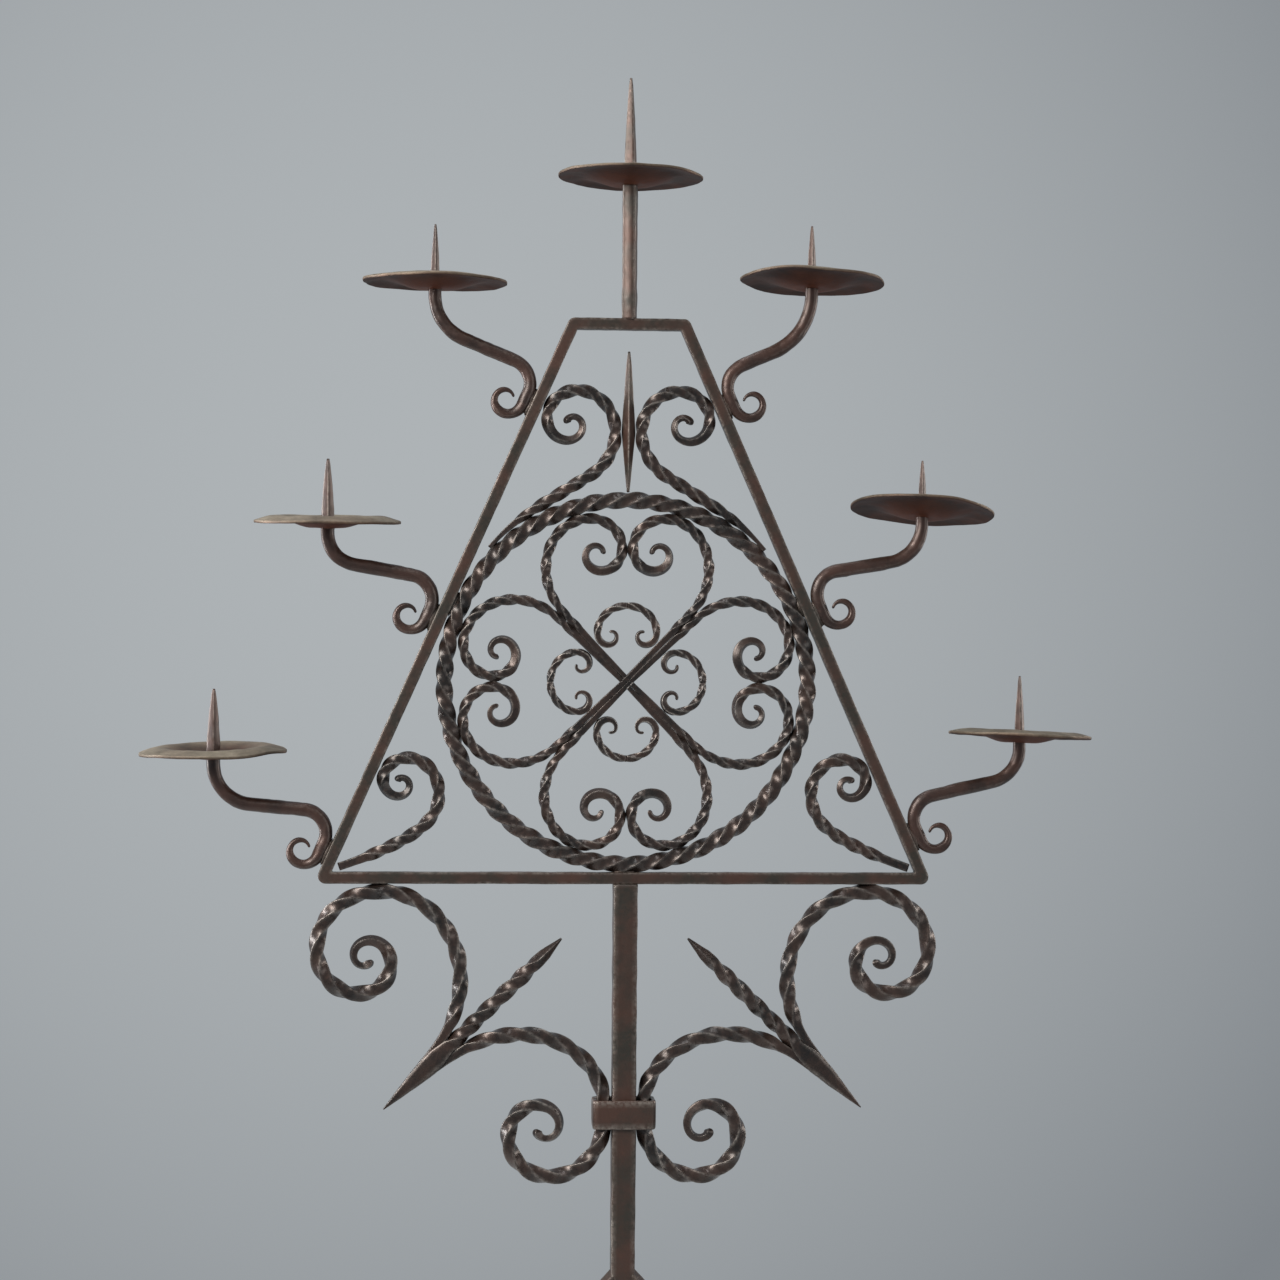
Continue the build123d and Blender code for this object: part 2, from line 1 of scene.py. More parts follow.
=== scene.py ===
"""Makes the visible iron of a forged pricket stand: seven candle places on a frame of twisted scrolls."""

import bpy
import numpy as np
from mathutils import Matrix


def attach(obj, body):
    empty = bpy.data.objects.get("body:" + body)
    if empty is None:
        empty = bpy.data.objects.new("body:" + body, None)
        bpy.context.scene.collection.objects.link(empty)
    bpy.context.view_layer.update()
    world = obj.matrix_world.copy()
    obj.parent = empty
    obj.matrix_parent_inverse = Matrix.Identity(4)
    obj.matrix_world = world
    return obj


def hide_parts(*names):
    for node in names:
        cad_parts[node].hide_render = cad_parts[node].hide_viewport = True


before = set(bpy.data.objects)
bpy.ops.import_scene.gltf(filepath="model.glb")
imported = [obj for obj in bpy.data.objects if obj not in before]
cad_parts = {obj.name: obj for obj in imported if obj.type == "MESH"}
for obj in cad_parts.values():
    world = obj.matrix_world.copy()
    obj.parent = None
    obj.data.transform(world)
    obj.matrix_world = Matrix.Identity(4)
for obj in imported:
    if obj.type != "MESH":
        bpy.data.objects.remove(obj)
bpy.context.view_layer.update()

bl_info = {
    "name": "Forged pricket stand",
    "version": (1, 0, 0),
    "blender": (4, 5, 0),
    "location": "View3D > Sidebar > Pricket stand",
    "description": "Makes the visible forged iron pieces of a seven-light pricket stand",
    "category": "Add Mesh",
}

# Places that the pieces share, in metres and degrees
frame_foot = 0.587
frame_top = 0.964
frame_lean = 23.9
ring_middle = 0.72155
ring_radius = 0.1213
ring_outer = 0.1263
weld_gap = 0.00025
stem_foot = 0.216
stem_point = 0.034
corner_outer_bend = 0.0052
corner_inner_bend = 0.0008
frame_skin = 0.0001

# Scrolls: bends as (turn, first radius, last radius), the radii as shares of the scroll's own size. A tail is
# the thickness of a scroll's thin end, a pitch is the length of bar in one turn of its twist, and ends are the
# shares of its length where the tail is full, where the twist starts and where it stops.
square_power = 9.0
ring_turns = 13
heart_size = 0.12404
heart_run = 0.06125
heart_pitch = 0.046
spine_widths = (0.0030, 0.0048)
spine_through = -0.0030
spine_butted = 0.0026
heart_shares = ((126, 0.400, 0.205), (165, 0.205, 0.107), (310, 0.107, 0.030))
small_size = 0.12321
small_top = 0.05095
small_pitch = 0.040
small_shares = ((-90, 0.183, 0.127), (-90, 0.076, 0.052), (-90, 0.048, 0.040), (-130, 0.034, 0.018))
scroll_pitch = 0.054
frame_scroll_ends = (0.24, 0.10, 0.80)
upper_size = 0.1095
upper_tail = 0.0026
upper_angles = (44.0, 62.15)
upper_tilt = 4.0
upper_run = 0.04249
upper_shares = ((-300, 0.345, 0.122), (-310, 0.122, 0.030))
corner_start = (0.19008, 0.5982)
corner_rise = 18.72
corner_tail = 0.0054
corner_shares = ((-24, 3.42, 0.267), (-385, 0.267, 0.054), (-180, 0.054, 0.029))
bracket_pitch = 0.074
bracket_tail = 0.0030
bracket_ends = (0.19, 0.12, 0.88)
big_size = 0.15167
big_start = (0.14252, 0.45819)
big_heading = 130.0
big_run = 0.02533
big_shares = ((-189, 0.508, 0.248), (-246, 0.248, 0.102), (-320, 0.102, 0.026))
lower_size = 0.14427
lower_start = (0.13817, 0.45368)
lower_heading = 141.4
lower_run = 0.02438
lower_stay = 0.008
lower_in_shares = ((128.6, 0.623, 0.268),)
lower_out_shares = ((234, 0.293, 0.138), (315, 0.138, 0.032))
collar_middle = 0.4345
collar_half_height = 0.0095
collar_wide, collar_deep = 0.0195, 0.0098
collar_bend, collar_thick = 0.0028, 0.0016

# Spindle and dart: places along them, and half their width and depth there; a dart ends in the bar's own size
spindle_foot = 0.8481
spindle_length = 0.0938
spindle_shares = (0.0, 0.1, 0.42, 0.9, 1.0)
spindle_halves = (0.0007, 0.0014, 0.0035, 0.0014, 0.0006)
arrow_tip = (0.15944, 0.4375)
dart_angle = 136.0
dart_length = 0.163
dart_pitch = 0.060
dart_twist = (0.060, 0.142)
dart_places = (0.0, 0.004, 0.026, 0.041, 0.049, 0.062, 0.126, 0.148, dart_length)
spear_wide = (0.0004, 0.0011, 0.0048, 0.0067, 0.0067)
spear_deep = (0.0006, 0.0011, 0.0030, 0.0038, 0.0040)
dart_neck = 0.72
dart_end = 0.0005

# Arms: side, weld height, reach of the pan, height of the pan, pricket height and thickness, and the rise of
# the pan's rim
arm_rows = {
    "upper_left": (-1, 0.32083, 0.12937, 0.39385, 0.0441, 0.0061, 0.0042),
    "upper_right": (1, 0.32007, 0.12229, 0.39809, 0.0432, 0.0064, 0.0042),
    "middle_left": (-1, 0.17681, 0.19907, 0.23480, 0.0468, 0.0088, 0.0028),
    "middle_right": (1, 0.18209, 0.19813, 0.24507, 0.0400, 0.0064, 0.0044),
    "lower_left": (-1, 0.02111, 0.27290, 0.08210, 0.0468, 0.0088, 0.0033),
    "lower_right": (1, 0.03205, 0.26539, 0.09502, 0.0459, 0.0069, 0.0038),
}
# Slope of each arm's run, then how far its pan leans to the right and to the back
arm_angles = {
    "upper_left": (22, 0.5, -1.0),
    "upper_right": (24, 2.0, 3.0),
    "middle_left": (10, 0.0, -3.5),
    "middle_right": (10, 5.0, 8.0),
    "lower_left": (5, -1.5, -3.0),
    "lower_right": (13, 2.4, 2.0),
}
arm_weld_run = 0.004
arm_weld_bend = 0.016
arm_upright = 0.003
arm_curl = (330, 0.0118, 0.0052)
rod_height = 0.08825
top_pricket = (0.072, 0.0090)
top_pan = (0.8, 0.0, 0.0052)
rod_half = 0.0047
pan_well = 0.010
pan_ridge = (0.036, 0.0062)
pan_rings, pan_lip_rings, pan_spokes = 56, 4, 160
leg_top = 0.330
leg_angles = {"leg_front_right": -25.0, "leg_front_left": 205.0, "leg_back": 90.0}
leg_slope, leg_ankle = 42.0, 75.0
leg_reach = 0.230
leg_sole = 0.030
leg_toe = (190, 0.014, 0.013)
leg_root = 0.004
leg_slim = 0.955
arm_half = 0.0044

# Weld beads: half lengths along the bar, through it and across it
arm_bead = (0.0090, 0.0034, 0.0026)
ring_bead = (0.0075, 0.0030, 0.0020)
foot_bead = (0.0075, 0.0032, 0.0018)

# Hammer marks: cells of broad dents and of fine ones, and cells of rubbed patches
dent_cells = (0.0085, 0.0032)
rub_cells = (0.013, 0.0035)

# Camera: focal length and shift in pixels of a picture of this size, then degrees and metres
picture = 1280.0
focal_pixels = 2700.0
shift_pixels = (13.1, 10.0)
camera_turn, camera_roll = 4.0, 0.43
camera_distance, camera_height = 1.8, 0.743


class StandSizes(bpy.types.PropertyGroup):
    """Bar stock, sheet and hammer marks."""

    stem_side: bpy.props.FloatProperty(
        name="Stem", description="Side of the square stem", default=0.016, unit="LENGTH"
    )
    frame_side: bpy.props.FloatProperty(
        name="Frame bar", description="Side of the square frame bar", default=0.008, unit="LENGTH"
    )
    ring_side: bpy.props.FloatProperty(
        name="Ring bar", description="Side of the ring's untwisted bar", default=0.0089, unit="LENGTH"
    )
    scroll_side: bpy.props.FloatProperty(
        name="Frame scrolls", description="Side of scrolls in the frame", default=0.0069, unit="LENGTH"
    )
    heart_side: bpy.props.FloatProperty(
        name="Heart bar", description="Side of the bars of the hearts", default=0.0058, unit="LENGTH"
    )
    small_side: bpy.props.FloatProperty(
        name="Small scrolls", description="Side of their bars", default=0.0043, unit="LENGTH"
    )
    bracket_side: bpy.props.FloatProperty(
        name="Brackets", description="Side of the bars under the frame", default=0.0084, unit="LENGTH"
    )
    arm_diameter: bpy.props.FloatProperty(
        name="Arms", description="Thickness of the round arms", default=0.0090, unit="LENGTH"
    )
    leg_side: bpy.props.FloatProperty(
        name="Legs", description="Side of the square leg bars", default=0.010, unit="LENGTH"
    )
    pan_diameter: bpy.props.FloatProperty(
        name="Pans", description="Diameter of the drip pans", default=0.0958, unit="LENGTH"
    )
    pan_sheet: bpy.props.FloatProperty(
        name="Pan sheet", description="Thickness of the pans' sheet", default=0.0019, unit="LENGTH"
    )
    dent: bpy.props.FloatProperty(
        name="Hammer marks", description="Depth of the hammer marks", default=0.00022, unit="LENGTH"
    )
    step: bpy.props.FloatProperty(
        name="Step", description="Mesh length along a bar", default=0.0012, unit="LENGTH"
    )


class StandColours(bpy.types.PropertyGroup):
    """Colours of the iron, as sRGB hex, and of the studio."""

    scale_dark: bpy.props.StringProperty(name="Scale", description="Dark forge scale", default="#2a2726")
    scale_warm: bpy.props.StringProperty(
        name="Warm scale", description="Brown forge scale", default="#4a3b35"
    )
    worn: bpy.props.StringProperty(
        name="Worn edge", description="Iron rubbed bare on edges", default="#bab5af"
    )
    rust: bpy.props.StringProperty(name="Rust", description="Thin rust in hollows", default="#4c362e")
    pan_under: bpy.props.StringProperty(
        name="Pan underside", description="Oxide under the pans", default="#5a3526"
    )
    # Painted highlight: the lighter colour painted on the top of each pan, where light from above falls on it
    pan_lit_top: bpy.props.StringProperty(
        name="Pan brim", description="Rubbed top of the brim", default="#a69c8b"
    )
    floor: bpy.props.StringProperty(name="Floor", description="Pale studio floor", default="#b9bdbf")
    backdrop_light: bpy.props.StringProperty(
        name="Backdrop", description="Backdrop where it is lit", default="#aeb3b6"
    )
    backdrop_dim: bpy.props.StringProperty(
        name="Backdrop edge", description="Backdrop far from the light", default="#80858a"
    )


def sizes():
    """The sizes that the user set."""
    return bpy.context.scene.stand_sizes


def colours():
    """The colours that the user set."""
    return bpy.context.scene.stand_colours


# Curves and surfaces
def centreline(start, heading, runs, step):
    """Points of a plane curve made of straight runs (length,) and bends (turn, first radius, last radius).

    In a bend the radius changes by equal ratios. Each small step goes along the middle of its change of
    heading, and running sums of the steps give x, z, heading in radians and length so far.
    """
    lengths = []
    turns = []
    for run in runs:
        if len(run) == 1:
            count = max(2, int(np.ceil(run[0] / step)))
            lengths.append(np.full(count, run[0] / count))
            turns.append(np.zeros(count))
        else:
            turn, first, last = np.radians(run[0]), run[1], run[2]
            count = int(np.ceil(max(abs(turn) * (first + last) / 2 / step, abs(turn) / np.radians(6))))
            radius = first * (last / first) ** ((np.arange(count) + 0.5) / count)
            lengths.append(radius * abs(turn) / count)
            turns.append(np.full(count, turn / count))
    length = np.concatenate(lengths)
    turn = np.concatenate(turns)
    headings = np.radians(heading) + np.concatenate([[0.0], np.cumsum(turn)])
    middle = headings[:-1] + turn / 2
    x = start[0] + np.concatenate([[0.0], np.cumsum(length * np.cos(middle))])
    z = start[1] + np.concatenate([[0.0], np.cumsum(length * np.sin(middle))])
    return x, z, headings, np.concatenate([[0.0], np.cumsum(length)])


def bends(shares, size):
    """Bends of a scroll, with their radii worked out from its size."""
    return [(turn, first * size, last * size) for turn, first, last in shares]


def grain(points, cell, seed):
    """Smooth noise from -1 to 1: hashed numbers on a cubic lattice, blended by smooth steps."""
    place = points / cell
    corner = np.floor(place).astype(np.int64)
    part = place - corner
    part = part * part * (3 - 2 * part)
    total = np.zeros(points.shape[:-1])
    for dx in (0, 1):
        for dy in (0, 1):
            for dz in (0, 1):
                key = (corner[..., 0] + dx) * 73856093 ^ (corner[..., 1] + dy) * 19349663
                key = key ^ (corner[..., 2] + dz) * 83492791 ^ seed * 40503
                key = (key ^ (key >> 13)) * 1274126177 & 0x7FFFFFFF
                value = ((key ^ (key >> 15)) & 0xFFFF) / 32767.5 - 1
                total += value * np.prod(np.abs(1 - np.array((dx, dy, dz)) - part), axis=-1)
    return total


side_angles = np.radians((-45, -42, -37, -26, 0, 26, 37, 42))


def forged_bar(line, half, twist, power, seed, dent, flat=1.0, wear=1.0, closed=False):
    """A rounded square carried along a plane centreline, hammered and twisted.

    At angle t from the middle of a side the section's radius is half * (|cos t|^p + |sin t|^p)^(-1/p). The
    section is turned by the twist, its depth is scaled by flat, and noise pushes it in and out by dent.
    Gives a shell: the grid of points, whether its ends meet, and how far each point is worn.
    """
    x, z, heading, half, power, flat, twist, wear = (
        np.broadcast_to(value, line[3].shape)[:, None]
        for value in (*line[:3], half, power, flat, twist, wear)
    )
    angle = (np.arange(4)[:, None] * np.pi / 2 + side_angles).ravel()[None, :]
    radius = (np.abs(np.cos(angle)) ** power + np.abs(np.sin(angle)) ** power) ** (-1 / power)
    corner = np.tile(np.clip((np.abs(side_angles) - np.radians(30)) / np.radians(15), 0, 1), 4)[None, :]
    turned = angle + twist

    def place(reach):
        across = reach * np.cos(turned)
        deep = reach * np.sin(turned) * flat
        return np.stack([x - across * np.sin(heading), deep, z + across * np.cos(heading)], axis=-1)

    points = place(half * radius)
    marks = grain(points, dent_cells[0], seed) + 0.45 * grain(points, dent_cells[1], seed + 7)
    keep = np.clip(half / 0.004, 0.15, 1)
    points = place(half * radius + dent * keep * marks)
    rubbed = 0.62 + 0.5 * grain(points, rub_cells[0], seed + 3) + 0.35 * grain(points, rub_cells[1], seed + 5)
    return points, closed, {"worn": np.clip(corner * rubbed * wear, 0, 1)}


def turned_about(points, turn, foot=(0.0, 0.0, 0.0)):
    """Points turned by a 3x3 matrix about the origin and then moved."""
    return points @ np.array(turn).T + np.array(foot)


def facing(points, quads, ends):
    """True when the closed surface's signed volume is positive, so that its faces point outwards."""
    a, b, c, d = (points[quads[:, k]] for k in range(4))
    volume = (np.cross(b - a, c - a) * a).sum() + (np.cross(c - a, d - a) * a).sum()
    if len(ends):
        p, q, r = (points[ends[:, k]] for k in range(3))
        volume += (np.cross(q - p, r - p) * p).sum()
    return volume > 0


def grid_surface(grid, closed):
    """Faces of a grid that is closed round its sections, and along its length too if closed.

    An open one gets a fan of triangles at each end. Faces are turned to point outwards.
    """
    rows, columns = grid.shape[:2]
    row = np.arange(rows if closed else rows - 1)[:, None]
    column = np.arange(columns)[None, :]
    after = (column + 1) % columns
    below = (row + 1) % rows
    here, next_row = row * columns, below * columns
    quads = np.stack([here + column, here + after, next_row + after, next_row + column], axis=-1).reshape(-1, 4)
    points = grid.reshape(-1, 3)
    ends = np.zeros((0, 3), int)
    if not closed:
        first, last = rows * columns, rows * columns + 1
        points = np.vstack([points, grid[0].mean(0), grid[-1].mean(0)])
        edge = np.arange(columns)
        follow = (edge + 1) % columns
        head = np.stack([np.full(columns, first), follow, edge], axis=-1)
        tail = (rows - 1) * columns
        foot = np.stack([np.full(columns, last), tail + edge, tail + follow], axis=-1)
        ends = np.vstack([head, foot])
    if not facing(points, quads, ends):
        quads = quads[:, ::-1]
        ends = ends[:, ::-1]
    return points, quads, ends


def add_piece(node, shells, slot, name=None):
    """Puts shells of (grid, closed, marks by name) into one mesh, hangs it on the root body and hides the CAD
    node that it stands for, if any.

    A piece that stands for a node is named after it; one that stands for none brings its own name.
    """
    name = name or "forged_" + node
    points, corners, counts = [], [], []
    marks = {}
    base = 0
    for grid, closed, shown in shells:
        place, quads, ends = grid_surface(grid, closed)
        points.append(place)
        corners += [quads.ravel() + base, ends.ravel() + base]
        counts += [np.full(len(quads), 4), np.full(len(ends), 3)]
        for mark, values in shown.items():
            flat = np.asarray(values, float).reshape(-1)
            extra = len(place) - len(flat)
            marks.setdefault(mark, []).append(np.concatenate([flat, np.full(extra, flat.mean())]))
        base += len(place)
    points = np.concatenate(points)
    corners = np.concatenate(corners).astype(np.int32)
    counts = np.concatenate(counts).astype(np.int32)
    starts = np.concatenate([[0], np.cumsum(counts)[:-1]]).astype(np.int32)
    mesh = bpy.data.meshes.new(name)
    mesh.vertices.add(len(points))
    mesh.vertices.foreach_set("co", points.ravel().astype(np.float32))
    mesh.loops.add(len(corners))
    mesh.loops.foreach_set("vertex_index", corners)
    mesh.polygons.add(len(counts))
    mesh.polygons.foreach_set("loop_start", starts)
    mesh.polygons.foreach_set("loop_total", counts)
    mesh.polygons.foreach_set("use_smooth", np.ones(len(counts), bool))
    for mark, values in marks.items():
        layer = mesh.attributes.new(mark, "FLOAT", "POINT")
        layer.data.foreach_set("value", np.concatenate(values).astype(np.float32))
    mesh.update()
    mesh.validate()
    mesh.materials.append(iron(slot))
    piece = bpy.data.objects.new(name, mesh)
    bpy.context.scene.collection.objects.link(piece)
    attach(piece, "root")
    if node:
        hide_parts(node)


def ramp(place, knots):
    """Values read from (place, value) knots, eased between them by smooth steps."""
    at = np.array([knot[0] for knot in knots])
    value = np.array([knot[1] for knot in knots])
    index = np.clip(np.searchsorted(at, place, side="right") - 1, 0, len(at) - 2)
    part = np.clip((place - at[index]) / (at[index + 1] - at[index]), 0, 1)
    part = part * part * (3 - 2 * part)
    return value[index] + (value[index + 1] - value[index]) * part


def rounded_ends(length, half, start=0.0, end=0.0):
    """Half sizes drawn in like a quarter circle over the first and last stretch of a bar."""
    whole = length[-1]
    if start:
        part = np.clip(1 - length / start, 0, 1)
        half = half * np.sqrt(np.clip(1 - part**2, 0.02, 1))
    if end:
        part = np.clip(1 - (whole - length) / end, 0, 1)
        half = half * np.sqrt(np.clip(1 - part**2, 0.02, 1))
    return half


def twisted(length, first, last, pitch, seed):
    """Left-handed twist in radians between two places, at a steady pitch with the small slips of hand work."""
    along = np.clip(length, first, last) - first
    slip = np.stack([length, np.zeros_like(length), np.zeros_like(length)], axis=-1)
    return -(2 * np.pi * along / pitch + 0.16 * grain(slip, 0.03, seed))


def swung(shell, turn):
    """A shell turned about the ring's middle in the plane of the stand, as a rotation of x and z."""
    grid, closed, marks = shell
    angle = np.radians(turn)
    x, z = grid[..., 0], grid[..., 2] - ring_middle
    across = x * np.cos(angle) + z * np.sin(angle)
    up = ring_middle - x * np.sin(angle) + z * np.cos(angle)
    return np.stack([across, grid[..., 1], up], axis=-1), closed, marks


def other_side(line):
    """A centreline mirrored to the other side of the stem, so that the twist keeps its hand."""
    x, z, heading, length = line
    return -x, z, np.pi - heading, length


# Materials
def linear(code):
    """An sRGB hex colour as linear red, green and blue, with full alpha."""
    value = np.array([int(code[k : k + 2], 16) for k in (1, 3, 5)]) / 255
    value = np.where(value <= 0.04045, value / 12.92, ((value + 0.055) / 1.055) ** 2.4)
    return (*value, 1.0)


def add_node(tree, kind, inputs=(), **settings):
    """Adds a node, sets its properties, and sets or links its inputs given as (socket, value) pairs."""
    made = tree.nodes.new(kind)
    for name, value in settings.items():
        setattr(made, name, value)
    for socket, value in inputs:
        if isinstance(value, bpy.types.NodeSocket):
            tree.links.new(value, made.inputs[socket])
        else:
            made.inputs[socket].default_value = value
    return made


def per_metre(size):
    """Texture scale at which one cell of a pattern has the given size in metres."""
    return 1.0 / size


def start_material(name):
    """An empty node material with its output and the object's coordinates."""
    made = bpy.data.materials.new(name)
    made.use_nodes = True
    made.node_tree.nodes.clear()
    output = add_node(made.node_tree, "ShaderNodeOutputMaterial")
    where = add_node(made.node_tree, "ShaderNodeTexCoord").outputs["Object"]
    return made, made.node_tree, output, where


def start_iron(name, patch_size, detail, pit_size):
    """A material with the two noises that all the iron shares: cloudy patches and a fine grain of pits."""
    made, tree, output, where = start_material(name)
    cloud, pits = (
        add_node(
            tree,
            "ShaderNodeTexNoise",
            [("Vector", where), ("Scale", per_metre(size)), ("Detail", fine), ("Roughness", rough)],
        ).outputs["Fac"]
        for size, fine, rough in ((patch_size, detail, 0.62), (pit_size, 3.0, 0.6))
    )
    return made, tree, output, where, cloud, pits


def forged_iron(name, dark, warm, rust, bare, gloss, shine):
    """Mild steel worked at the forge, wire-brushed and waxed.

    The eye gets dark scale in cloudy brown and grey patches, a fine grain of pits, soft hammer facets, a dull
    wax gloss, and grey metal where hands and hammer rubbed the edges bare.
    """
    made, tree, output, where, cloud, pits = start_iron(name, 0.028, 4.0, 0.0022)
    facets = add_node(
        tree,
        "ShaderNodeTexVoronoi",
        [("Vector", where), ("Scale", per_metre(0.0065)), ("Smoothness", 0.6)],
        feature="SMOOTH_F1",
    ).outputs["Distance"]
    patch = add_node(
        tree, "ShaderNodeMapRange", [("Value", cloud), ("From Min", 0.38), ("From Max", 0.64)]
    ).outputs["Result"]
    base = add_node(
        tree, "ShaderNodeMix", [("Factor", patch), ("A", linear(dark)), ("B", linear(warm))], data_type="RGBA"
    ).outputs["Result"]
    stain = add_node(
        tree,
        "ShaderNodeMapRange",
        [("Value", pits), ("From Min", 0.52), ("From Max", 0.75), ("To Max", 0.55)],
    ).outputs["Result"]
    stained = add_node(
        tree, "ShaderNodeMix", [("Factor", stain), ("A", base), ("B", linear(rust))], data_type="RGBA"
    ).outputs["Result"]
    worn = add_node(tree, "ShaderNodeAttribute", attribute_name="worn").outputs["Fac"]
    speck = add_node(
        tree, "ShaderNodeMapRange", [("Value", pits), ("From Min", 0.3), ("From Max", 0.62)]
    ).outputs["Result"]
    rub = add_node(tree, "ShaderNodeMath", [(0, worn), (1, speck)], operation="MULTIPLY").outputs["Value"]
    colour = add_node(
        tree, "ShaderNodeMix", [("Factor", rub), ("A", stained), ("B", linear(bare))], data_type="RGBA"
    ).outputs["Result"]
    rough = add_node(
        tree,
        "ShaderNodeMapRange",
        [
            ("Value", pits), ("From Min", 0.3), ("From Max", 0.7),
            ("To Min", gloss - 0.08), ("To Max", gloss + 0.12),
        ],
    ).outputs["Result"]
    bump = add_node(
        tree, "ShaderNodeBump", [("Strength", 0.35), ("Distance", 0.0005), ("Height", facets)]
    ).outputs["Normal"]
    fine = add_node(
        tree, "ShaderNodeBump", [("Strength", 0.5), ("Distance", 0.00022), ("Height", pits), ("Normal", bump)]
    ).outputs["Normal"]
    shader = add_node(
        tree,
        "ShaderNodeBsdfPrincipled",
        [
            ("Base Color", colour), ("Metallic", shine), ("Roughness", rough), ("Normal", fine),
            ("Coat Weight", 0.45), ("Coat Roughness", gloss - 0.08), ("Coat IOR", 1.45),
        ],
    )
    tree.links.new(shader.outputs["BSDF"], output.inputs["Surface"])
    return made


def sheet_iron(name):
    """Thin iron sheet raised into a pan with a ball hammer.

    The eye gets a reddish brown oxide below and in the well, a painted orange glow under the middle that stands
    in for reflected light, a top painted lighter towards the brim as a painted highlight from the light above,
    and dished hammer marks with a fine grain.
    """
    shade = colours()
    made, tree, output, where, cloud, pits = start_iron(name, 0.022, 5.0, 0.0018)
    # Painted highlight: mask of the pan's top, painted lighter towards the brim as if lit from above
    brim = add_node(tree, "ShaderNodeAttribute", attribute_name="brim").outputs["Fac"]
    # Painted glow: mask of the underside near the middle, where orange stands in for reflected light
    painted_glow = add_node(tree, "ShaderNodeAttribute", attribute_name="painted_glow").outputs["Fac"]
    patch = add_node(
        tree, "ShaderNodeMapRange", [("Value", cloud), ("From Min", 0.36), ("From Max", 0.66)]
    ).outputs["Result"]
    oxide = add_node(
        tree,
        "ShaderNodeMix",
        [("Factor", patch), ("A", linear("#3a2923")), ("B", linear(shade.pan_under))],
        data_type="RGBA",
    ).outputs["Result"]
    # Painted glow: orange mixed into the underside oxide near the middle
    under = add_node(
        tree, "ShaderNodeMix", [("Factor", painted_glow), ("A", oxide), ("B", linear("#743c22"))], data_type="RGBA"
    ).outputs["Result"]
    # Painted highlight: light warm greys for the top of the pan, standing for light from above
    above = add_node(
        tree,
        "ShaderNodeMix",
        [("Factor", patch), ("A", linear("#7d7466")), ("B", linear(shade.pan_lit_top))],
        data_type="RGBA",
    ).outputs["Result"]
    colour = add_node(
        tree, "ShaderNodeMix", [("Factor", brim), ("A", under), ("B", above)], data_type="RGBA"
    ).outputs["Result"]
    speck = add_node(
        tree,
        "ShaderNodeMapRange",
        [("Value", pits), ("From Min", 0.3), ("From Max", 0.7), ("To Min", 0.75), ("To Max", 1.12)],
    ).outputs["Result"]
    grained = add_node(
        tree,
        "ShaderNodeMix",
        [("Factor", 1.0), ("A", colour), ("B", speck)],
        data_type="RGBA",
        blend_type="MULTIPLY",
    ).outputs["Result"]
    rough = add_node(
        tree, "ShaderNodeMapRange", [("Value", pits), ("To Min", 0.42), ("To Max", 0.66)]
    ).outputs["Result"]
    bump = add_node(
        tree, "ShaderNodeBump", [("Strength", 0.5), ("Distance", 0.0003), ("Height", pits)]
    ).outputs["Normal"]
    shader = add_node(
        tree,
        "ShaderNodeBsdfPrincipled",
        [("Base Color", grained), ("Metallic", 0.55), ("Roughness", rough), ("Normal", bump)],
    )
    tree.links.new(shader.outputs["BSDF"], output.inputs["Surface"])
    return made


def iron(slot):
    """The iron of a material slot, made the first time it is asked for."""
    names = {
        "bar_iron": "forged square bar, waxed scale",
        "twisted_iron": "twisted bar, scale rubbed on its edges",
        "round_iron": "forged round bar, brown scale",
        "sheet_iron": "hammered sheet iron",
    }
    name = names[slot]
    if name in bpy.data.materials:
        return bpy.data.materials[name]
    shade = colours()
    if slot == "sheet_iron":
        return sheet_iron(name)
    if slot == "bar_iron":
        return forged_iron(name, "#3d3933", "#573f36", shade.rust, "#9a938c", 0.42, 0.40)
    if slot == "round_iron":
        return forged_iron(name, "#382b27", "#563e36", shade.rust, "#8f8780", 0.38, 0.40)
    return forged_iron(name, shade.scale_dark, shade.scale_warm, shade.rust, shade.worn, 0.32, 0.45)


# Pieces
def scroll(node, line, side, tail, pitch, seed, tail_end, twist_start, twist_end):
    """One twisted scroll on its centreline: a thin tail, a full middle and an eye drawn down to a small bud.

    The ends of tail and twist are shares of the scroll's length, and so are the places in the eye.
    """
    length = line[3]
    whole = length[-1]
    full = side / 2
    knots = [
        (0.0, tail / 2), (tail_end, full), (twist_end - 0.08, full), (0.975, full * 0.5), (1.0, full * 0.68),
    ]
    half = rounded_ends(length, ramp(length / whole, knots), end=side * 0.4)
    twist = twisted(length, whole * twist_start, whole * twist_end, pitch, seed)
    shell = forged_bar(line, half, twist, square_power, seed, sizes().dent, wear=0.55)
    add_piece(node, [shell], "twisted_iron")


class STAND_OT_stem(bpy.types.Operator):
    """Square stem with rubbed corners and a blunt point below the legs"""

    bl_idname = "stand.stem"
    bl_label = "Stem"

    def execute(self, context):
        size = sizes()
        line = centreline((0.0, stem_foot), 90, [(frame_foot - stem_foot,)], 0.002)
        length = line[3]
        full = size.stem_side / 2
        half = ramp(length, [(0.0, full * 0.3), (stem_point, full), (1.0, full)])
        half = rounded_ends(length, half, start=0.002)
        shell = forged_bar(line, half, 0.0, 11.0, 11, size.dent * 1.2, wear=0.7)
        add_piece("stem", [shell], "bar_iron")
        return {"FINISHED"}


def frame_reach(height, depth):
    """Distance from the stem's axis to the frame's side bar at a height, so far in from its outer face."""
    lean = np.radians(frame_lean)
    away = ring_outer + weld_gap + sizes().frame_side - depth
    return (away - (height - ring_middle) * np.sin(lean)) / np.cos(lean)


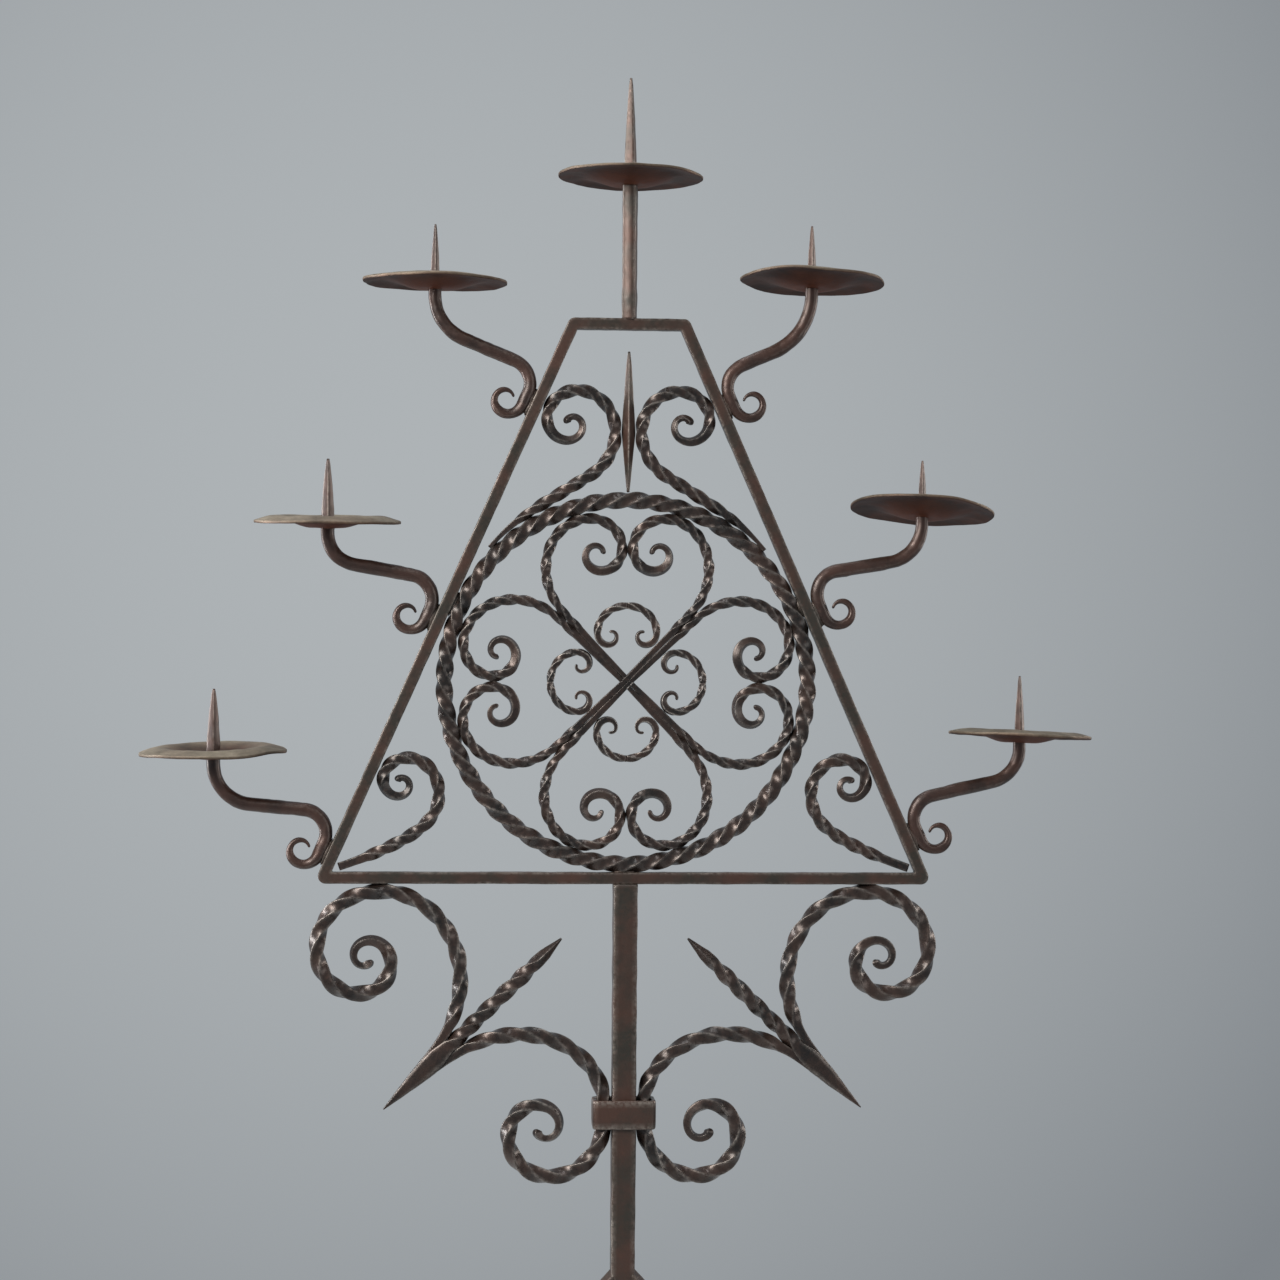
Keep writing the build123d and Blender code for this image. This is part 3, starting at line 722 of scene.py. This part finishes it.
def frame_outline(depth, bend):
    """Outline of the frame so far in from its outer face: four straight sides joined by arcs of one radius.

    Each arc runs round a point that lies one radius in from both sides, through the turn of its corner.
    """
    inner = depth + bend
    low, high = frame_foot + inner, frame_top - inner
    foot, top = frame_reach(low, inner), frame_reach(high, inner)
    turns = np.cumsum([-90, 90 + frame_lean, 90 - frame_lean, 90 - frame_lean, 90 + frame_lean])
    middles = ((foot, low), (top, high), (-top, high), (-foot, low))
    arcs = []
    for (x, z), first, last in zip(middles, turns, turns[1:]):
        angle = np.radians(np.linspace(first, last, 9))
        arcs.append(np.stack([x + bend * np.cos(angle), z + bend * np.sin(angle)], axis=-1))
    sides = []
    for arc, follow in zip(arcs, arcs[1:] + arcs[:1]):
        part = np.linspace(0, 1, 150, endpoint=False)[1:, None]
        sides.append(np.concatenate([arc, arc[-1] + (follow[0] - arc[-1]) * part]))
    return np.concatenate(sides)


class STAND_OT_frame(bpy.types.Operator):
    """Square bar bent to a four-sided frame, rounded at the outside of its corners"""

    bl_idname = "stand.frame"
    bl_label = "Frame bar"

    def execute(self, context):
        size = sizes()
        outer = frame_outline(frame_skin, corner_outer_bend)
        inner = frame_outline(size.frame_side - frame_skin, corner_inner_bend)
        middle, across = (outer + inner) / 2, (inner - outer) / 2
        half = np.hypot(*across.T)
        heading = np.arctan2(-across[:, 0], across[:, 1])
        ahead = np.hypot(*np.diff(middle, axis=0, prepend=middle[:1]).T)
        line = (middle[:, 0], middle[:, 1], heading, np.cumsum(ahead))
        flat = size.frame_side * 0.49 / half
        shell = forged_bar(line, half, 0.0, 10.0, 23, size.dent * 0.9, flat=flat, wear=0.8, closed=True)
        add_piece("frame_bar", [shell], "bar_iron")
        return {"FINISHED"}


class STAND_OT_ring(bpy.types.Operator):
    """Twisted bar bent to a ring"""

    bl_idname = "stand.ring"
    bl_label = "Ring"

    def execute(self, context):
        size = sizes()
        runs = [(360, ring_radius, ring_radius)]
        line = tuple(part[:-1] for part in centreline((0.0, ring_middle - ring_radius), 0, runs, size.step))
        twist = ring_turns * line[3] / ring_radius
        half = size.ring_side / 2
        shell = forged_bar(line, half, twist, square_power, 31, size.dent * 1.2, wear=0.5, closed=True)
        add_piece("ring", [shell], "twisted_iron")
        return {"FINISHED"}


class STAND_OT_hearts(bpy.types.Operator):
    """Eight heart bars and four small scrolls inside the ring"""

    bl_idname = "stand.hearts"
    bl_label = "Hearts and small scrolls"

    def execute(self, context):
        size = sizes()
        root = np.sqrt(0.5)

        def along_spine(distance, width):
            out = (width + weld_gap) / 2
            return (distance - out) * root, ring_middle + (distance + out) * root

        def heart_bar(first):
            start, end = along_spine(first, spine_widths[0]), along_spine(heart_run, spine_widths[1])
            heading = np.degrees(np.arctan2(end[1] - start[1], end[0] - start[0]))
            run = np.hypot(end[0] - start[0], end[1] - start[1])
            line = centreline(start, heading, [(run,)] + bends(heart_shares, heart_size), size.step)
            length = line[3]
            whole = length[-1]
            knots = [
                (0.0, 0.0016), (run * 0.4, 0.0020), (run, 0.0024), (run * 1.6, size.heart_side / 2),
                (whole * 0.84, size.heart_side / 2), (whole, size.heart_side * 0.26),
            ]
            return line, rounded_ends(length, ramp(length, knots), end=0.0016), run

        through, butted = heart_bar(spine_through), heart_bar(spine_butted)
        small = centreline((0.0, ring_middle + small_top), 0, bends(small_shares, small_size), size.step)
        reach = small[3]
        full = size.small_side / 2
        thin = ramp(reach / reach[-1], [(0.0, full), (0.62, full), (1.0, full * 0.44)])
        thin = rounded_ends(reach, thin, end=0.0012)
        for index, (place, turn) in enumerate((("top", 0), ("right", 90), ("bottom", 180), ("left", 270))):
            for side, over in (("first", index % 2 == 0), ("second", index % 2 == 1)):
                line, half, run = through if over else butted
                seed = 40 + index * 4 + (side == "second")
                twist = twisted(line[3], run * 0.75, line[3][-1] * 0.82, heart_pitch, seed)
                path = line if side == "first" else other_side(line)
                rub = np.interp(line[3], (run * 0.7, run * 1.2), (0.2, 0.55))
                shell = forged_bar(path, half, twist, 8.0, seed, size.dent, wear=rub)
                add_piece(f"heart_{place}_{side}", [swung(shell, turn)], "twisted_iron")
            seed = 70 + index
            twist = twisted(reach, 0.0, reach[-1] * 0.55, small_pitch, seed)
            shells = [
                swung(forged_bar(line, thin, twist, 7.0, seed, size.dent * 0.8), turn)
                for line in (small, other_side(small))
            ]
            add_piece(f"small_scroll_{place}", shells, "twisted_iron")
        return {"FINISHED"}


class STAND_OT_frame_scrolls(bpy.types.Operator):
    """Spindle, upper scrolls and corner scrolls between ring and frame"""

    bl_idname = "stand.frame_scrolls"
    bl_label = "Frame scrolls and spindle"

    def execute(self, context):
        size = sizes()
        spindle = centreline((0.0, spindle_foot), 90, [(spindle_length,)], 0.0015)
        half = np.interp(spindle[3] / spindle_length, spindle_shares, spindle_halves)
        add_piece("spindle", [forged_bar(spindle, half, np.pi / 4, 12.0, 81, size.dent)], "bar_iron")
        away = ring_outer + weld_gap + upper_tail / 2
        first, last = upper_angles
        angle = np.radians(first)
        start = (away * np.cos(angle), ring_middle + away * np.sin(angle))
        runs = [(last - first, away, away), (upper_run,)] + bends(upper_shares, upper_size)
        upper = centreline(start, first + 90 - upper_tilt, runs, size.step)
        corner = centreline(corner_start, 180 - corner_rise, bends(corner_shares, ring_radius), size.step)
        rows = (("upper_scroll", upper, upper_tail, 90), ("corner_scroll", corner, corner_tail, 95))
        for name, line, tail, seed in rows:
            for index, (side, path) in enumerate((("right", line), ("left", other_side(line)))):
                node = f"{name}_{side}"
                scroll(node, path, size.scroll_side, tail, scroll_pitch, seed + index, *frame_scroll_ends)
        return {"FINISHED"}


class STAND_OT_brackets(bpy.types.Operator):
    """Big scrolls, lower scrolls, darts and the collar under the frame"""

    bl_idname = "stand.brackets"
    bl_label = "Brackets and collar"

    def execute(self, context):
        size = sizes()
        big = centreline(big_start, big_heading, [(big_run,)] + bends(big_shares, big_size), size.step)
        inward, outward = bends(lower_in_shares, lower_size), bends(lower_out_shares, lower_size)
        lower_runs = [(lower_run,)] + inward + [(lower_stay,)] + outward
        lower = centreline(lower_start, lower_heading, lower_runs, size.step)
        dart = centreline(arrow_tip, dart_angle, [(dart_length,)], size.step)
        length = dart[3]
        full = size.bracket_side / 2
        bar = (full, full, full * dart_neck, dart_end)
        half = np.interp(length, dart_places, spear_wide + bar)
        flat = np.interp(length, dart_places, spear_deep + bar) / half
        power = np.interp(length, (0.045, 0.065), (3.2, square_power))
        for index, side in enumerate(("right", "left")):
            mine = other_side if index else tuple
            seed = 110 + index
            for name, line, more in (("big", big, 0), ("lower", lower, 4)):
                stock = (size.bracket_side, bracket_tail, bracket_pitch)
                scroll(f"{name}_scroll_{side}", mine(line), *stock, seed + more, *bracket_ends)
            twist = twisted(length, *dart_twist, dart_pitch, seed + 8)
            shell = forged_bar(mine(dart), half, twist, power, seed + 8, size.dent, flat=flat, wear=0.35)
            add_piece(f"dart_{side}", [shell], "twisted_iron")
        turn = (90, collar_bend, collar_bend)
        wide, deep = collar_wide - collar_bend, 2 * (collar_deep - collar_bend)
        runs = [(wide,), turn, (deep,), turn, (2 * wide,), turn, (deep,), turn, (wide,)]
        band = tuple(part[:-1] for part in centreline((0.0, -collar_deep), 0, runs, 0.001))
        flat = collar_half_height / collar_thick
        shell = forged_bar(band, collar_thick, 0.0, 6.0, 131, size.dent * 0.7, flat=flat)
        grid = shell[0][..., [0, 2, 1]] + np.array([0.0, 0.0, collar_middle])
        add_piece("collar", [(grid, True, shell[2])], "bar_iron")
        return {"FINISHED"}


def arm_line(row, step):
    """Centreline of a right-hand arm from the eye of its curl to the pan, and the weld's place along it."""
    weld_height, reach, pan_height = arm_rows[row][1:4]
    slope_angle = arm_angles[row][0]
    slope, lean = np.radians(slope_angle), np.radians(frame_lean)
    away = arm_half + weld_gap
    weld = frame_foot + weld_height
    start = (frame_reach(weld, 0.0) + away * np.cos(lean), weld + away * np.sin(lean))
    heading = 90 + frame_lean
    turn_out = [(arm_weld_run,), (slope_angle - heading, arm_weld_bend, arm_weld_bend)]
    out = centreline(start, heading, turn_out, step)
    run_x = reach - out[0][-1]
    run_z = frame_foot + pan_height - arm_upright - out[1][-1]
    spare = np.cos(slope) ** 2 - (1 - np.sin(slope)) * np.sin(slope)
    run = (run_x * np.cos(slope) - (1 - np.sin(slope)) * run_z) / spare
    radius = (run_z * np.cos(slope) - run_x * np.sin(slope)) / spare
    runs = turn_out + [(run,), (90 - slope_angle, radius, radius), (arm_upright + 0.0025,)]
    out = centreline(start, heading, runs, step)
    curl = centreline(start, heading - 180, [(arm_weld_run,), arm_curl], step)
    x = np.concatenate([curl[0][:0:-1], out[0]])
    z = np.concatenate([curl[1][:0:-1], out[1]])
    turned = np.concatenate([curl[2][:0:-1] + np.pi, out[2]])
    length = np.concatenate([curl[3][-1] - curl[3][:0:-1], curl[3][-1] + out[3]])
    return (x, z, turned, length), curl[3][-1]


def pricket_shell(foot, height, thick, seed, turn):
    """A square spike that tapers to a snubbed tip, on a point of the stand's plane."""
    line = centreline(foot, 90, [(height,)], 0.0012)
    part = line[3] / height
    half = thick * 0.42 * np.interp(part, (0.0, 0.30, 0.60, 0.93, 1.0), (1.0, 0.90, 0.68, 0.33, 0.18))
    return forged_bar(line, half, np.radians(turn), 6.0, seed, sizes().dent * 1.1, wear=1.1)


class STAND_OT_arms(bpy.types.Operator):
    """Six round arms with their prickets, and the middle candle's rod"""

    bl_idname = "stand.arms"
    bl_label = "Arms and rod"

    def execute(self, context):
        size = sizes()
        for index, (row, (side, weld, reach, height, spike, thick, rim)) in enumerate(arm_rows.items()):
            line, weld_at = arm_line(row, size.step)
            length = line[3]
            full = size.arm_diameter
            knots = [
                (0.0, 0.0009), (weld_at * 0.25, full * 0.22), (weld_at * 0.6, full * 0.34),
                (weld_at, full * 0.48), (length[-1] * 0.75, full / 2), (length[-1], full * 0.48),
            ]
            half = rounded_ends(length, ramp(length, knots), start=0.0012)
            path = line if side > 0 else other_side(line)
            bar = forged_bar(path, half, 0.3, 2.3, 140 + index, size.dent * 1.3, wear=0.35)
            top = (side * reach, frame_foot + height - 0.0005)
            add_piece("arm_" + row, [bar, pricket_shell(top, spike, thick, 150 + index, 38)], "round_iron")
        line = centreline((0.0, frame_top - 0.001), 90, [(rod_height + 0.003,)], 0.0015)
        rod = forged_bar(line, rod_half, np.radians(20), 3.6, 160, size.dent * 1.4, wear=0.9)
        spike = pricket_shell((0.0, frame_top + rod_height), *top_pricket, 161, 20)
        add_piece("top_rod", [rod, spike], "bar_iron")
        return {"FINISHED"}


def pan_shell(hole, droop, seed):
    """A pan as a loop of (radius, height) carried round the axis, with dents and a wavy rim.

    The loop goes out along the underside, round the rim and back along the top. Height follows a smooth rise
    from the flat well to a ridge and a droop to the rim, plus the sheet on top.
    """
    size = sizes()
    rim = size.pan_diameter / 2
    out = hole + (rim - hole) * np.linspace(0, 1, pan_rings) ** 0.9
    rise = ramp(out, [(0.0, 0.0), (pan_well, 0.0), pan_ridge, (rim + 0.006, droop - 0.0008)])
    lip = np.linspace(-np.pi / 2, np.pi / 2, pan_lip_rings + 2)[1:-1]
    edge = size.pan_sheet / 2
    radius = np.concatenate([out, rim + 0.0003 * np.cos(lip), out[::-1]])
    height = np.concatenate([rise, rise[-1] + edge + edge * np.sin(lip), rise[::-1] + size.pan_sheet])
    top = np.concatenate([np.zeros(pan_rings), np.linspace(0.2, 0.8, pan_lip_rings), np.ones(pan_rings)])
    angle = np.linspace(0, 2 * np.pi, pan_spokes, endpoint=False)
    random = np.random.default_rng(seed)

    def waves(height, fall, orders):
        return sum(
            random.normal(0, height / order**fall) * np.cos(order * angle + random.uniform(0, 6.28))
            for order in orders
        )

    wave = waves(0.00042, 0.6, range(2, 7))
    swell = waves(0.0005, 0.5, range(3, 9))
    share = (radius / rim) ** 3
    wide = radius + np.minimum(swell, 0.0003)[:, None] * share
    around = angle[:, None]
    flat = np.stack([wide * np.cos(around), wide * np.sin(around), np.zeros_like(wide)], axis=-1)
    dents = 0.00030 * grain(flat, 0.013, seed) + 0.00012 * grain(flat, 0.006, seed + 1)
    dents = dents * np.clip((radius - hole) / 0.01, 0, 1)
    tall = height + wave[:, None] * share + dents
    grid = np.stack([flat[..., 0], flat[..., 1], tall], axis=-1)
    # Painted highlight, not rubbing: strength of the lighter top, rising from the well out to the brim, with a
    # little noise
    rubbed = np.clip((radius - 0.018) / 0.014, 0.12, 1) * (0.85 + 0.3 * grain(flat, 0.02, seed + 2))
    # Painted glow: orange on the underside near the middle, standing in for reflected light
    painted_glow = np.clip(1.1 - radius / 0.030, 0, 0.75) * (1 - top) * np.ones_like(wide)
    return grid, {"brim": np.clip(top * rubbed, 0, 1), "painted_glow": painted_glow}


class STAND_OT_pans(bpy.types.Operator):
    """Seven hammered drip pans, each at its own lean"""

    bl_idname = "stand.pans"
    bl_label = "Drip pans"

    def execute(self, context):
        seats = {
            row: (side * reach, frame_foot + height, *arm_angles[row][1:], rim, thick * 0.36)
            for row, (side, weld, reach, height, spike, thick, rim) in arm_rows.items()
        }
        seats["top"] = (0.0, frame_top + rod_height, *top_pan, 0.0034)
        for index, (row, (x, z, right, back, rim, hole)) in enumerate(seats.items()):
            grid, marks = pan_shell(hole, rim, 170 + index * 5)
            lean = Matrix.Rotation(np.radians(-back), 3, "X") @ Matrix.Rotation(np.radians(right), 3, "Y")
            lift = weld_gap + np.tan(np.radians(np.hypot(right, back))) * 0.005
            place = turned_about(grid, lean, (x, 0.0, z + lift))
            add_piece("pan_" + row, [(place, True, marks)], "sheet_iron")
        return {"FINISHED"}


class STAND_OT_legs(bpy.types.Operator):
    """Three square legs with curled toes"""

    bl_idname = "stand.legs"
    bl_label = "Legs"

    def execute(self, context):
        size = sizes()
        slope, ankle = np.radians(leg_slope), np.radians(leg_ankle)
        half = size.leg_side / 2
        face = size.stem_side / 2
        high = leg_top - half / np.cos(slope)
        out = leg_reach - face
        down = high - half
        knee_out = np.sin(ankle) - np.sin(slope)
        knee_down = np.cos(slope) - np.cos(ankle)
        spare = knee_out * (1 - np.cos(ankle)) - np.sin(ankle) * knee_down
        knee = (out * (1 - np.cos(ankle)) - np.sin(ankle) * down) / spare
        instep = (knee_out * down - knee_down * out) / spare
        root, arch = (leg_root / np.cos(slope),), (leg_slope - leg_ankle, knee, knee)
        runs = [root, arch, (leg_ankle, instep, instep), (leg_sole,), leg_toe]
        line = centreline((face - leg_root, high + leg_root * np.tan(slope)), -leg_slope, runs, 0.002)
        length = line[3]
        whole = length[-1]
        sides = ramp(length, [(0.0, half), (whole - 0.05, half), (whole, half * 0.55)])
        sides = rounded_ends(length, sides, end=0.003)
        for index, (node, angle) in enumerate(leg_angles.items()):
            bar = forged_bar(line, sides * leg_slim, 0.0, square_power, 200 + index, size.dent * 1.2, wear=0.8)
            turn = Matrix.Rotation(np.radians(angle), 3, "Z")
            add_piece(node, [(turned_about(bar[0], turn), *bar[1:])], "bar_iron")
        return {"FINISHED"}


def bead(middle, radii, turn, seed):
    """A weld bead: an ellipsoid over two angles, roughened by noise and turned in the stand's plane."""
    across = np.linspace(0.02, np.pi - 0.02, 14)[:, None]
    around = np.linspace(0, 2 * np.pi, 20, endpoint=False)[None, :]
    ring = np.sin(across)
    ball = np.stack([np.cos(across) + 0 * around, ring * np.cos(around), ring * np.sin(around)], axis=-1)
    rough = 1 + 0.22 * grain(ball, 0.55, seed) + 0.10 * grain(ball, 0.25, seed + 1)
    ball = ball * rough[..., None] * np.array(radii)
    spin = Matrix.Rotation(np.radians(-turn), 3, "Y")
    grid = turned_about(ball, spin, (middle[0], 0.0, middle[1]))
    return grid, False, {"worn": 0.15 * np.ones(grid.shape[:2])}


class STAND_OT_welds(bpy.types.Operator):
    """Weld beads where the arms and the ring meet the frame"""

    bl_idname = "stand.welds"
    bl_label = "Weld beads"

    def execute(self, context):
        lean, along = np.radians(frame_lean), 90 + frame_lean
        shells = []
        for index, (side, weld) in enumerate(row[:2] for row in arm_rows.values()):
            height = frame_foot + weld - 0.0005
            place = (side * (frame_reach(height, 0.0) + 0.0006), height)
            shells.append(bead(place, arm_bead, side * along, 220 + index * 2))
        for side in (-1, 1):
            touch = (side * ring_outer * np.cos(lean), ring_middle + ring_outer * np.sin(lean))
            shells.append(bead(touch, ring_bead, side * along, 240 + side))
        shells.append(bead((0.0, frame_foot + 0.0082), foot_bead, 0, 244))
        add_piece(None, shells, "bar_iron", "weld_beads")
        return {"FINISHED"}


class STAND_OT_stage(bpy.types.Operator):
    """Floor, backdrop, soft lights and the camera"""

    bl_idname = "stand.stage"
    bl_label = "Studio"

    def execute(self, context):
        shade = colours()
        scene = context.scene
        scene.view_settings.view_transform = "Standard"
        # A disc of rings round its middle point
        rings, spokes, reach = 24, 96, 1.2
        radius = np.linspace(0.0, reach, rings + 1)[1:, None]
        angle = np.linspace(0, 2 * np.pi, spokes, endpoint=False)[None, :]
        disc = np.stack([radius * np.cos(angle), radius * np.sin(angle), 0 * radius * angle], axis=-1)
        points = np.vstack([[[0.0, 0.0, 0.0]], disc.reshape(-1, 3)])
        spoke = np.arange(spokes)
        follow = (spoke + 1) % spokes
        inner = np.stack([0 * spoke, 1 + spoke, 1 + follow], axis=-1).tolist()
        row = np.arange(rings - 1)[:, None] * spokes + 1
        quads = np.stack([row + spoke, row + spokes + spoke, row + spokes + follow, row + follow], axis=-1)
        mesh = bpy.data.meshes.new("studio_floor")
        mesh.from_pydata(points.tolist(), [], inner + quads.reshape(-1, 4).tolist())
        floor = bpy.data.objects.new("studio_floor", mesh)
        scene.collection.objects.link(floor)
        # Matt painted board: pale, with a faint fleck, and fading out into the backdrop
        made, tree, output, where = start_material("matt painted board")
        away = add_node(tree, "ShaderNodeVectorMath", [(0, where)], operation="LENGTH").outputs["Value"]
        fade = add_node(
            tree, "ShaderNodeMapRange", [("Value", away), ("From Min", 0.55), ("From Max", 1.15)],
            interpolation_type="SMOOTHSTEP",
        ).outputs["Result"]
        fleck = add_node(
            tree, "ShaderNodeTexNoise", [("Vector", where), ("Scale", per_metre(0.006)), ("Detail", 3.0)]
        ).outputs["Fac"]
        tone = add_node(
            tree, "ShaderNodeMapRange", [("Value", fleck), ("To Min", 0.97), ("To Max", 1.03)]
        ).outputs["Result"]
        paint = add_node(
            tree, "ShaderNodeMix", [("Factor", 1.0), ("A", linear(shade.floor)), ("B", tone)],
            data_type="RGBA", blend_type="MULTIPLY",
        ).outputs["Result"]
        board = add_node(
            tree, "ShaderNodeBsdfPrincipled", [("Base Color", paint), ("Roughness", 0.8)]
        ).outputs["BSDF"]
        clear = add_node(tree, "ShaderNodeBsdfTransparent").outputs["BSDF"]
        blend = add_node(tree, "ShaderNodeMixShader", [(0, fade), (1, board), (2, clear)]).outputs["Shader"]
        tree.links.new(blend, output.inputs["Surface"])
        mesh.materials.append(made)

        # Backdrop: a painted pool of light, brightest straight behind the stand; reflections see it as the
        # camera does
        world = bpy.data.worlds.new("studio")
        scene.world = world
        world.use_nodes = True
        tree = world.node_tree
        tree.nodes.clear()
        ray = add_node(tree, "ShaderNodeLightPath")
        seen = ray.outputs["Is Camera Ray"]
        for kind in ("Is Transmission Ray", "Is Glossy Ray"):
            inputs = [(0, seen), (1, ray.outputs[kind])]
            seen = add_node(tree, "ShaderNodeMath", inputs, operation="MAXIMUM").outputs["Value"]
        looking = add_node(tree, "ShaderNodeTexCoord").outputs["Generated"]
        near = add_node(
            tree,
            "ShaderNodeVectorMath",
            [(0, looking), (1, (-0.014, 0.998, 0.061))],
            operation="DOT_PRODUCT",
        ).outputs["Value"]
        part = add_node(
            tree, "ShaderNodeMapRange", [("Value", near), ("From Min", 0.915), ("From Max", 1.0)]
        ).outputs["Result"]
        sky = add_node(
            tree,
            "ShaderNodeMix",
            [("Factor", part), ("A", linear(shade.backdrop_dim)), ("B", linear(shade.backdrop_light))],
            data_type="RGBA",
        ).outputs["Result"]
        shown = add_node(tree, "ShaderNodeBackground", [("Color", sky)]).outputs["Background"]
        dim = add_node(
            tree, "ShaderNodeBackground", [("Color", linear("#c8ccd0")), ("Strength", 0.20)]
        ).outputs["Background"]
        mixed = add_node(tree, "ShaderNodeMixShader", [(0, seen), (1, dim), (2, shown)]).outputs["Shader"]
        add_node(tree, "ShaderNodeOutputWorld", [("Surface", mixed)])

        def lamp(name, place, aim, wide, tall, power, colour):
            """One soft rectangular light that looks at a point."""
            data = bpy.data.lights.new(name, "AREA")
            data.shape = "RECTANGLE"
            data.size = wide
            data.size_y = tall
            data.energy = power
            data.color = linear(colour)[:3]
            made = bpy.data.objects.new(name, data)
            scene.collection.objects.link(made)
            away = np.array(place) - np.array(aim)
            away = away / np.linalg.norm(away)
            right = np.cross((0.0, 0.0, 1.0), away) + np.array((1e-6, 0.0, 0.0))
            right = right / np.linalg.norm(right)
            turn = Matrix(np.stack([right, np.cross(away, right), away], axis=1).tolist())
            made.matrix_world = Matrix.Translation(place) @ turn.to_4x4()

        middle = (0.0, 0.0, 0.75)
        lamp("key_softbox", (-1.5, -1.5, 1.7), middle, 0.9, 1.2, 46.0, "#fff8f0")
        lamp("fill_softbox", (1.9, -1.5, 1.0), middle, 1.2, 1.4, 9.0, "#f2ece6")
        lamp("top_softbox", (-0.2, 0.0, 2.5), middle, 1.2, 0.9, 13.0, "#ffffff")
        lamp("left_strip", (-1.6, 0.25, 0.9), middle, 0.30, 1.5, 27.0, "#ffffff")
        lamp("right_strip", (1.5, 0.55, 1.0), middle, 0.30, 1.4, 8.0, "#fff4ea")

        data = bpy.data.cameras.new("photo_camera")
        data.sensor_width = 36.0
        data.lens = focal_pixels / picture * data.sensor_width
        data.shift_x = shift_pixels[0] / picture
        data.shift_y = shift_pixels[1] / picture
        camera = bpy.data.objects.new("photo_camera", data)
        scene.collection.objects.link(camera)
        side = np.radians(camera_turn)
        away = camera_distance
        place = Matrix.Translation((-away * np.sin(side), -away * np.cos(side), camera_height))
        turn = Matrix.Rotation(-side, 4, "Z") @ Matrix.Rotation(np.pi / 2, 4, "X")
        camera.matrix_world = place @ turn @ Matrix.Rotation(np.radians(camera_roll), 4, "Z")
        scene.camera = camera
        return {"FINISHED"}


makers = (
    STAND_OT_stem,
    STAND_OT_frame,
    STAND_OT_ring,
    STAND_OT_hearts,
    STAND_OT_frame_scrolls,
    STAND_OT_brackets,
    STAND_OT_arms,
    STAND_OT_pans,
    STAND_OT_legs,
    STAND_OT_welds,
    STAND_OT_stage,
)


class STAND_PT_panel(bpy.types.Panel):
    """Lists the stand's sizes, colours and pieces in the sidebar"""

    bl_label = "Pricket stand"
    bl_idname = "STAND_PT_panel"
    bl_space_type = "VIEW_3D"
    bl_region_type = "UI"
    bl_category = "Pricket stand"

    def draw(self, context):
        for group in (context.scene.stand_sizes, context.scene.stand_colours):
            for name in group.__annotations__:
                self.layout.prop(group, name)
        for maker in makers:
            self.layout.operator(maker.bl_idname)


classes = (StandSizes, StandColours, *makers, STAND_PT_panel)


def register():
    """Registers the classes and hangs the settings on the scene."""
    for item in classes:
        bpy.utils.register_class(item)
    bpy.types.Scene.stand_sizes = bpy.props.PointerProperty(type=StandSizes)
    bpy.types.Scene.stand_colours = bpy.props.PointerProperty(type=StandColours)


def unregister():
    """Takes the settings and classes away again."""
    del bpy.types.Scene.stand_colours
    del bpy.types.Scene.stand_sizes
    for item in reversed(classes):
        bpy.utils.unregister_class(item)


def main():
    """Makes every piece and the studio."""
    register()
    for maker in makers:
        group, name = maker.bl_idname.split(".")
        getattr(getattr(bpy.ops, group), name)()


if __name__ == "__main__":
    main()
